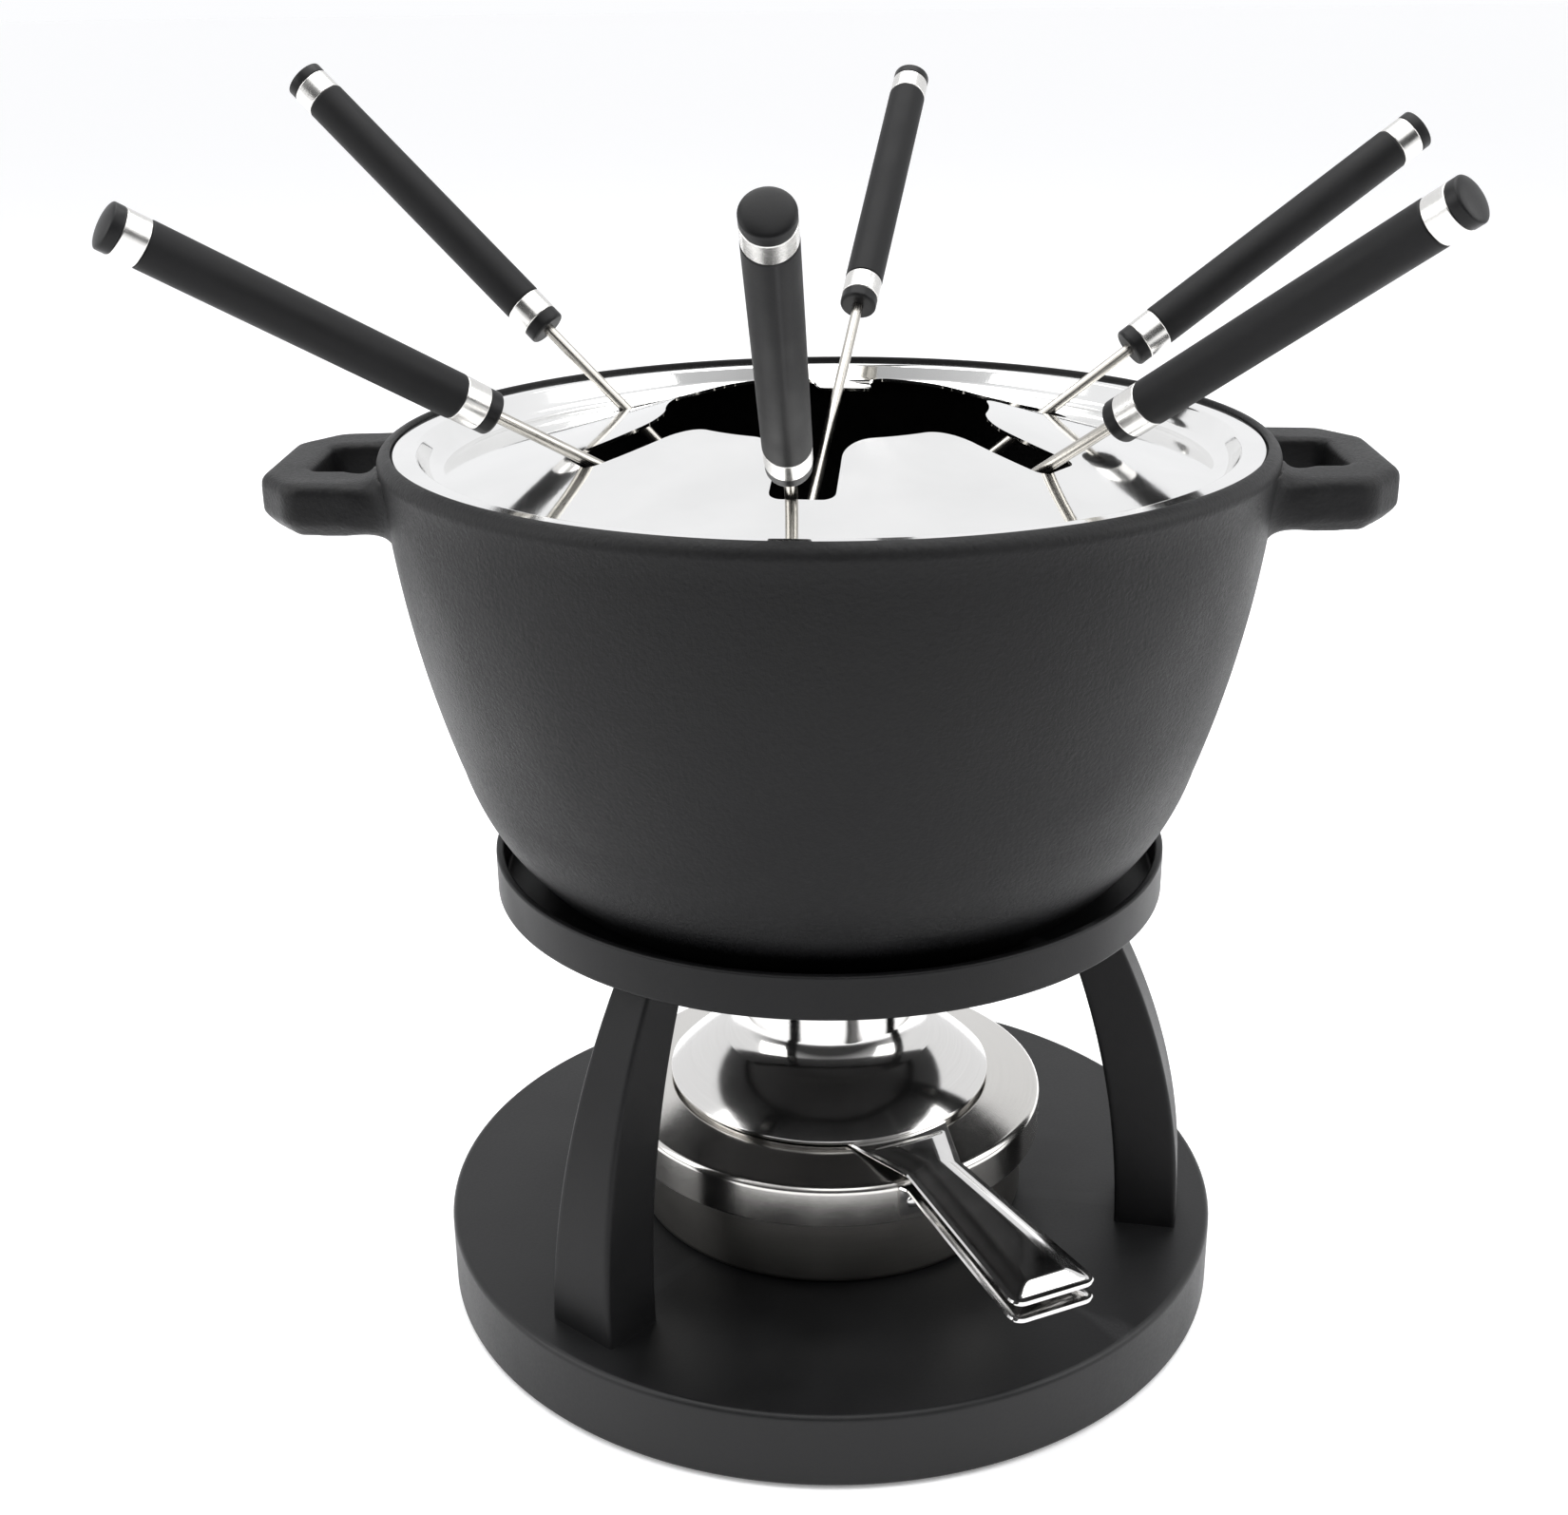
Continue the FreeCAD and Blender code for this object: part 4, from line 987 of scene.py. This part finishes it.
armLook = {"reach": 112.0, "waist": 57.0, "waistHalf": 7.0, "tipHalf": 10.5, "tipRound": 3.0, "sheet": 1.0,
           "rise": 1.7, "margin": 1.3, "slope": 4.6, "endSlope": 3.3, "startSlope": 4.0, "alongSteps": 150,
           "acrossSteps": 44, "edgeBulge": 0.28, "upperRoot": 14.0}


def armMesh(top, root, rootHalf, panelStart):  # pressed arm along +X with a raised panel
    look = armLook
    reach, corner = look["reach"], look["tipRound"]
    across = np.linspace(-1, 1, look["acrossSteps"] + 1)
    stations = np.concatenate([np.linspace(root, reach - corner, look["alongSteps"]),
            reach - corner + corner * np.sin(np.linspace(0, math.pi / 2, 10))[1:]])

    straight = np.interp(stations, (root, look["waist"], reach), (rootHalf, look["waistHalf"],
            look["tipHalf"]))
    over = np.clip(stations - (reach - corner), 0, corner)
    half = straight - corner + np.sqrt(corner * corner - over * over)
    x = np.repeat(stations[:, None], len(across), 1)
    y = half[:, None] * across[None, :]
    fromEnd = reach - look["margin"] - x
    fromSide = straight[:, None] - look["margin"] - np.abs(y)
    side = np.sin(np.clip(fromSide / look["slope"], 0, 1) * math.pi / 2) ** 1.3
    end = np.clip(fromEnd / look["endSlope"], 0, 1)
    start = ramp(x, panelStart, panelStart + look["startSlope"])
    z = top + look["rise"] * np.minimum(np.minimum(side, end), start)
    thin = look["sheet"]
    middle = thin / 2
    wider = (half + look["edgeBulge"]) / half
    rows = []
    for k in range(len(stations)):
        ring = [(x[k, j], y[k, j], z[k, j]) for j in range(len(across))]
        ring.append((x[k, -1], y[k, -1] * wider[k], z[k, -1] - middle))
        ring += [(x[k, j], y[k, j], z[k, j] - thin) for j in range(len(across) - 1, -1, -1)]
        ring.append((x[k, 0], y[k, 0] * wider[k], z[k, 0] - middle))
        rows.append(ring)
    return gridMesh(rows, finishes["arm_steel"], closedRows=False)


def makeRegulatorArm():
    look = burnerLook
    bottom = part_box("regulator_handle")[0].z / mm
    top = bottom + armLook["sheet"]
    line = softened([(look["neck"] + 0.3, bottom), (look["disc"], bottom, 0.2), (look["disc"], top, 0.2),
            (look["neck"] + 0.3, top)], closed=True)
    disc = cutAway(turnedMesh(line, finishes["arm_steel"], 128), airHoles(bottom))
    oneFinish(disc, finishes["arm_steel"])
    arm = armMesh(top, look["disc"] - 4, armLook["upperRoot"], look["disc"] + 3.5)
    arm.transform(Matrix.Rotation(math.radians(look["angle"]), 4, "Z"))
    mesh = together(disc, arm)
    addPiece("regulatorArm", mesh, "regulator", ["regulator_handle"])


bracketLook = {"half": 8.0, "height": 8.0, "rivets": 9.0, "rivetHead": 1.9, "rivetDome": 0.75,
        "rivetNeck": 1.0, "rivetBack": (2.6, 2.2)}


def makeLidArm():
    look = burnerLook
    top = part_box("lid_handle")[0].z / mm + bracketLook["height"]
    skirt, thin = look["lid"], armLook["sheet"]
    arm = armMesh(top, skirt + 0.05, bracketLook["half"], skirt + thin + 2)
    halfTurn = math.asin(bracketLook["half"] / skirt)
    foot = top - bracketLook["height"]
    rows = []
    for turn in np.linspace(-halfTurn, halfTurn, 21):
        line = softened([(skirt + 0.02, foot, 0.3), (skirt + thin, foot, 0.3), (skirt + thin,
                top - thin * 0.6), (skirt + 0.02, top - 0.05)], closed=True, steps=3)[:-1]
        rows.append([(r * math.cos(turn), r * math.sin(turn), z) for r, z in line])
    plate = gridMesh(rows, finishes["arm_steel"], closedRows=False)
    mesh = together(arm, plate)
    mesh.transform(Matrix.Rotation(math.radians(look["angle"]), 4, "Z"))
    addPiece("lidArm", mesh, "lid", ["lid_handle"])
    level = top - thin - (bracketLook["height"] - thin) / 2
    head, rise, neck = bracketLook["rivetHead"], bracketLook["rivetDome"], bracketLook["rivetNeck"]
    back, flat = bracketLook["rivetBack"]
    dome = [(head * math.cos(t), rise * math.sin(t)) for t in np.linspace(0, math.pi / 2, 8)][:-1]
    line = [(0, -back), (head, -back), (head, -flat), (neck, -flat), (neck, 0.0)] + dome + [(0, rise)]
    rivet = turnedMesh(line, finishes["rivet_steel"], 24)
    rivet.transform(Matrix.Rotation(math.pi / 2, 4, "Y"))
    step = math.degrees(2 * math.asin(bracketLook["rivets"] / 2 / skirt))
    mesh = copiesMesh(rivet, {"copies": 2, "circle": skirt + thin, "height": level,
            "firstAngle": look["angle"] - step / 2, "stepAngle": step}, finishes["rivet_steel"])
    creased(mesh, 40)
    addPiece("lidRivets", mesh, "lid", ["lid_rivets"])


makeCup()
makeTin()
makeLid()
makeHat()
makeRegulatorArm()
makeLidArm()
print("burner made")


roomLook = {"floorRadius": 30.0, "floor": (0.92, 0.92, 0.925), "floorShade": 0.985, "floorGlow": 0.2,
            "world": (0.98, 0.985, 1.0), "worldStrength": (0.05, 1.0), "worldFade": (-0.5, 0.45),
            "worldRise": 0.9, "target": (0.0, 0.0, 0.15),
            "lights": [("overhead", (0.0, 0.1, 1.25), 1.3, 14.0), ("leftBox", (-1.2, -0.35, 0.75), 0.9, 8.0),
                       ("rightBox", (1.2, -0.2, 0.8), 0.9, 8.0), ("frontBox", (0.1, -1.0, 1.35), 0.7, 2.5)]}


def makeRoom():
    finish, tree, shader, where = startFinish("floorFinish")
    mottle = cloud(tree, where["Object"], 180.0, 2.0)
    floor = roomLook["floor"]
    shade = tuple(value * roomLook["floorShade"] for value in floor)
    tree.links.new(blendColour(tree, mottle, shade, floor), shader.inputs["Base Color"])
    shader.inputs["Roughness"].default_value = 0.75
    shader.inputs["Emission Color"].default_value = (1.0, 1.0, 1.0, 1.0)
    shader.inputs["Emission Strength"].default_value = roomLook["floorGlow"]
    work = bmesh.new()
    bmesh.ops.create_circle(work, cap_ends=True, segments=96, radius=roomLook["floorRadius"])
    mesh = bpy.data.meshes.new("floor")
    work.to_mesh(mesh)
    work.free()
    mesh.materials.append(finish)
    ground = bpy.data.objects.new("floor", mesh)
    bpy.context.scene.collection.objects.link(ground)
    world = bpy.data.worlds.new("studio")
    world.use_nodes = True
    sky = world.node_tree
    around = addNode(sky, "ShaderNodeTexCoord").outputs["Generated"]
    way = parted(sky, around)
    front = plus(sky, way[1], times(sky, way[2], roomLook["worldRise"]))
    sky.nodes["Background"].inputs[0].default_value = (*roomLook["world"], 1.0)
    glow = spread(sky, front, *roomLook["worldStrength"], *roomLook["worldFade"])
    sky.links.new(glow, sky.nodes["Background"].inputs[1])
    bpy.context.scene.world = world
    bpy.context.scene.view_settings.view_transform = "Standard"
    for name, spot, size, power in roomLook["lights"]:
        light = bpy.data.lights.new(name, "AREA")
        light.shape = "SQUARE"
        light.size = size
        light.energy = power
        lamp = bpy.data.objects.new(name, light)
        lamp.location = spot
        lamp.rotation_euler = (Vector(roomLook["target"]) - Vector(spot)).to_track_quat("-Z", "Y").to_euler()
        bpy.context.scene.collection.objects.link(lamp)


cameraLook = {"back": 0.469, "height": 0.3178, "yaw": -0.0233, "pitch": 0.3635, "roll": -0.0112,
        "lens": 46.47}


def makeCamera():
    look = cameraLook
    yaw, pitch = look["yaw"], look["pitch"]
    ahead = Vector((math.sin(yaw) * math.cos(pitch), math.cos(yaw) * math.cos(pitch), -math.sin(pitch)))
    right = Vector((math.cos(yaw), -math.sin(yaw), 0))
    top = right.cross(ahead)
    turnedRight = right * math.cos(look["roll"]) + top * math.sin(look["roll"])
    turnedTop = top * math.cos(look["roll"]) - right * math.sin(look["roll"])
    data = bpy.data.cameras.new("studioCamera")
    data.sensor_width = 36.0
    data.lens = look["lens"]
    data.clip_start = 0.01
    camera = bpy.data.objects.new("studioCamera", data)
    place = Matrix((turnedRight, turnedTop, -ahead)).transposed().to_4x4()
    place.translation = Vector((0, -look["back"], look["height"]))
    camera.matrix_world = place
    bpy.context.scene.collection.objects.link(camera)
    bpy.context.scene.camera = camera


makeRoom()
makeCamera()
print("room made")
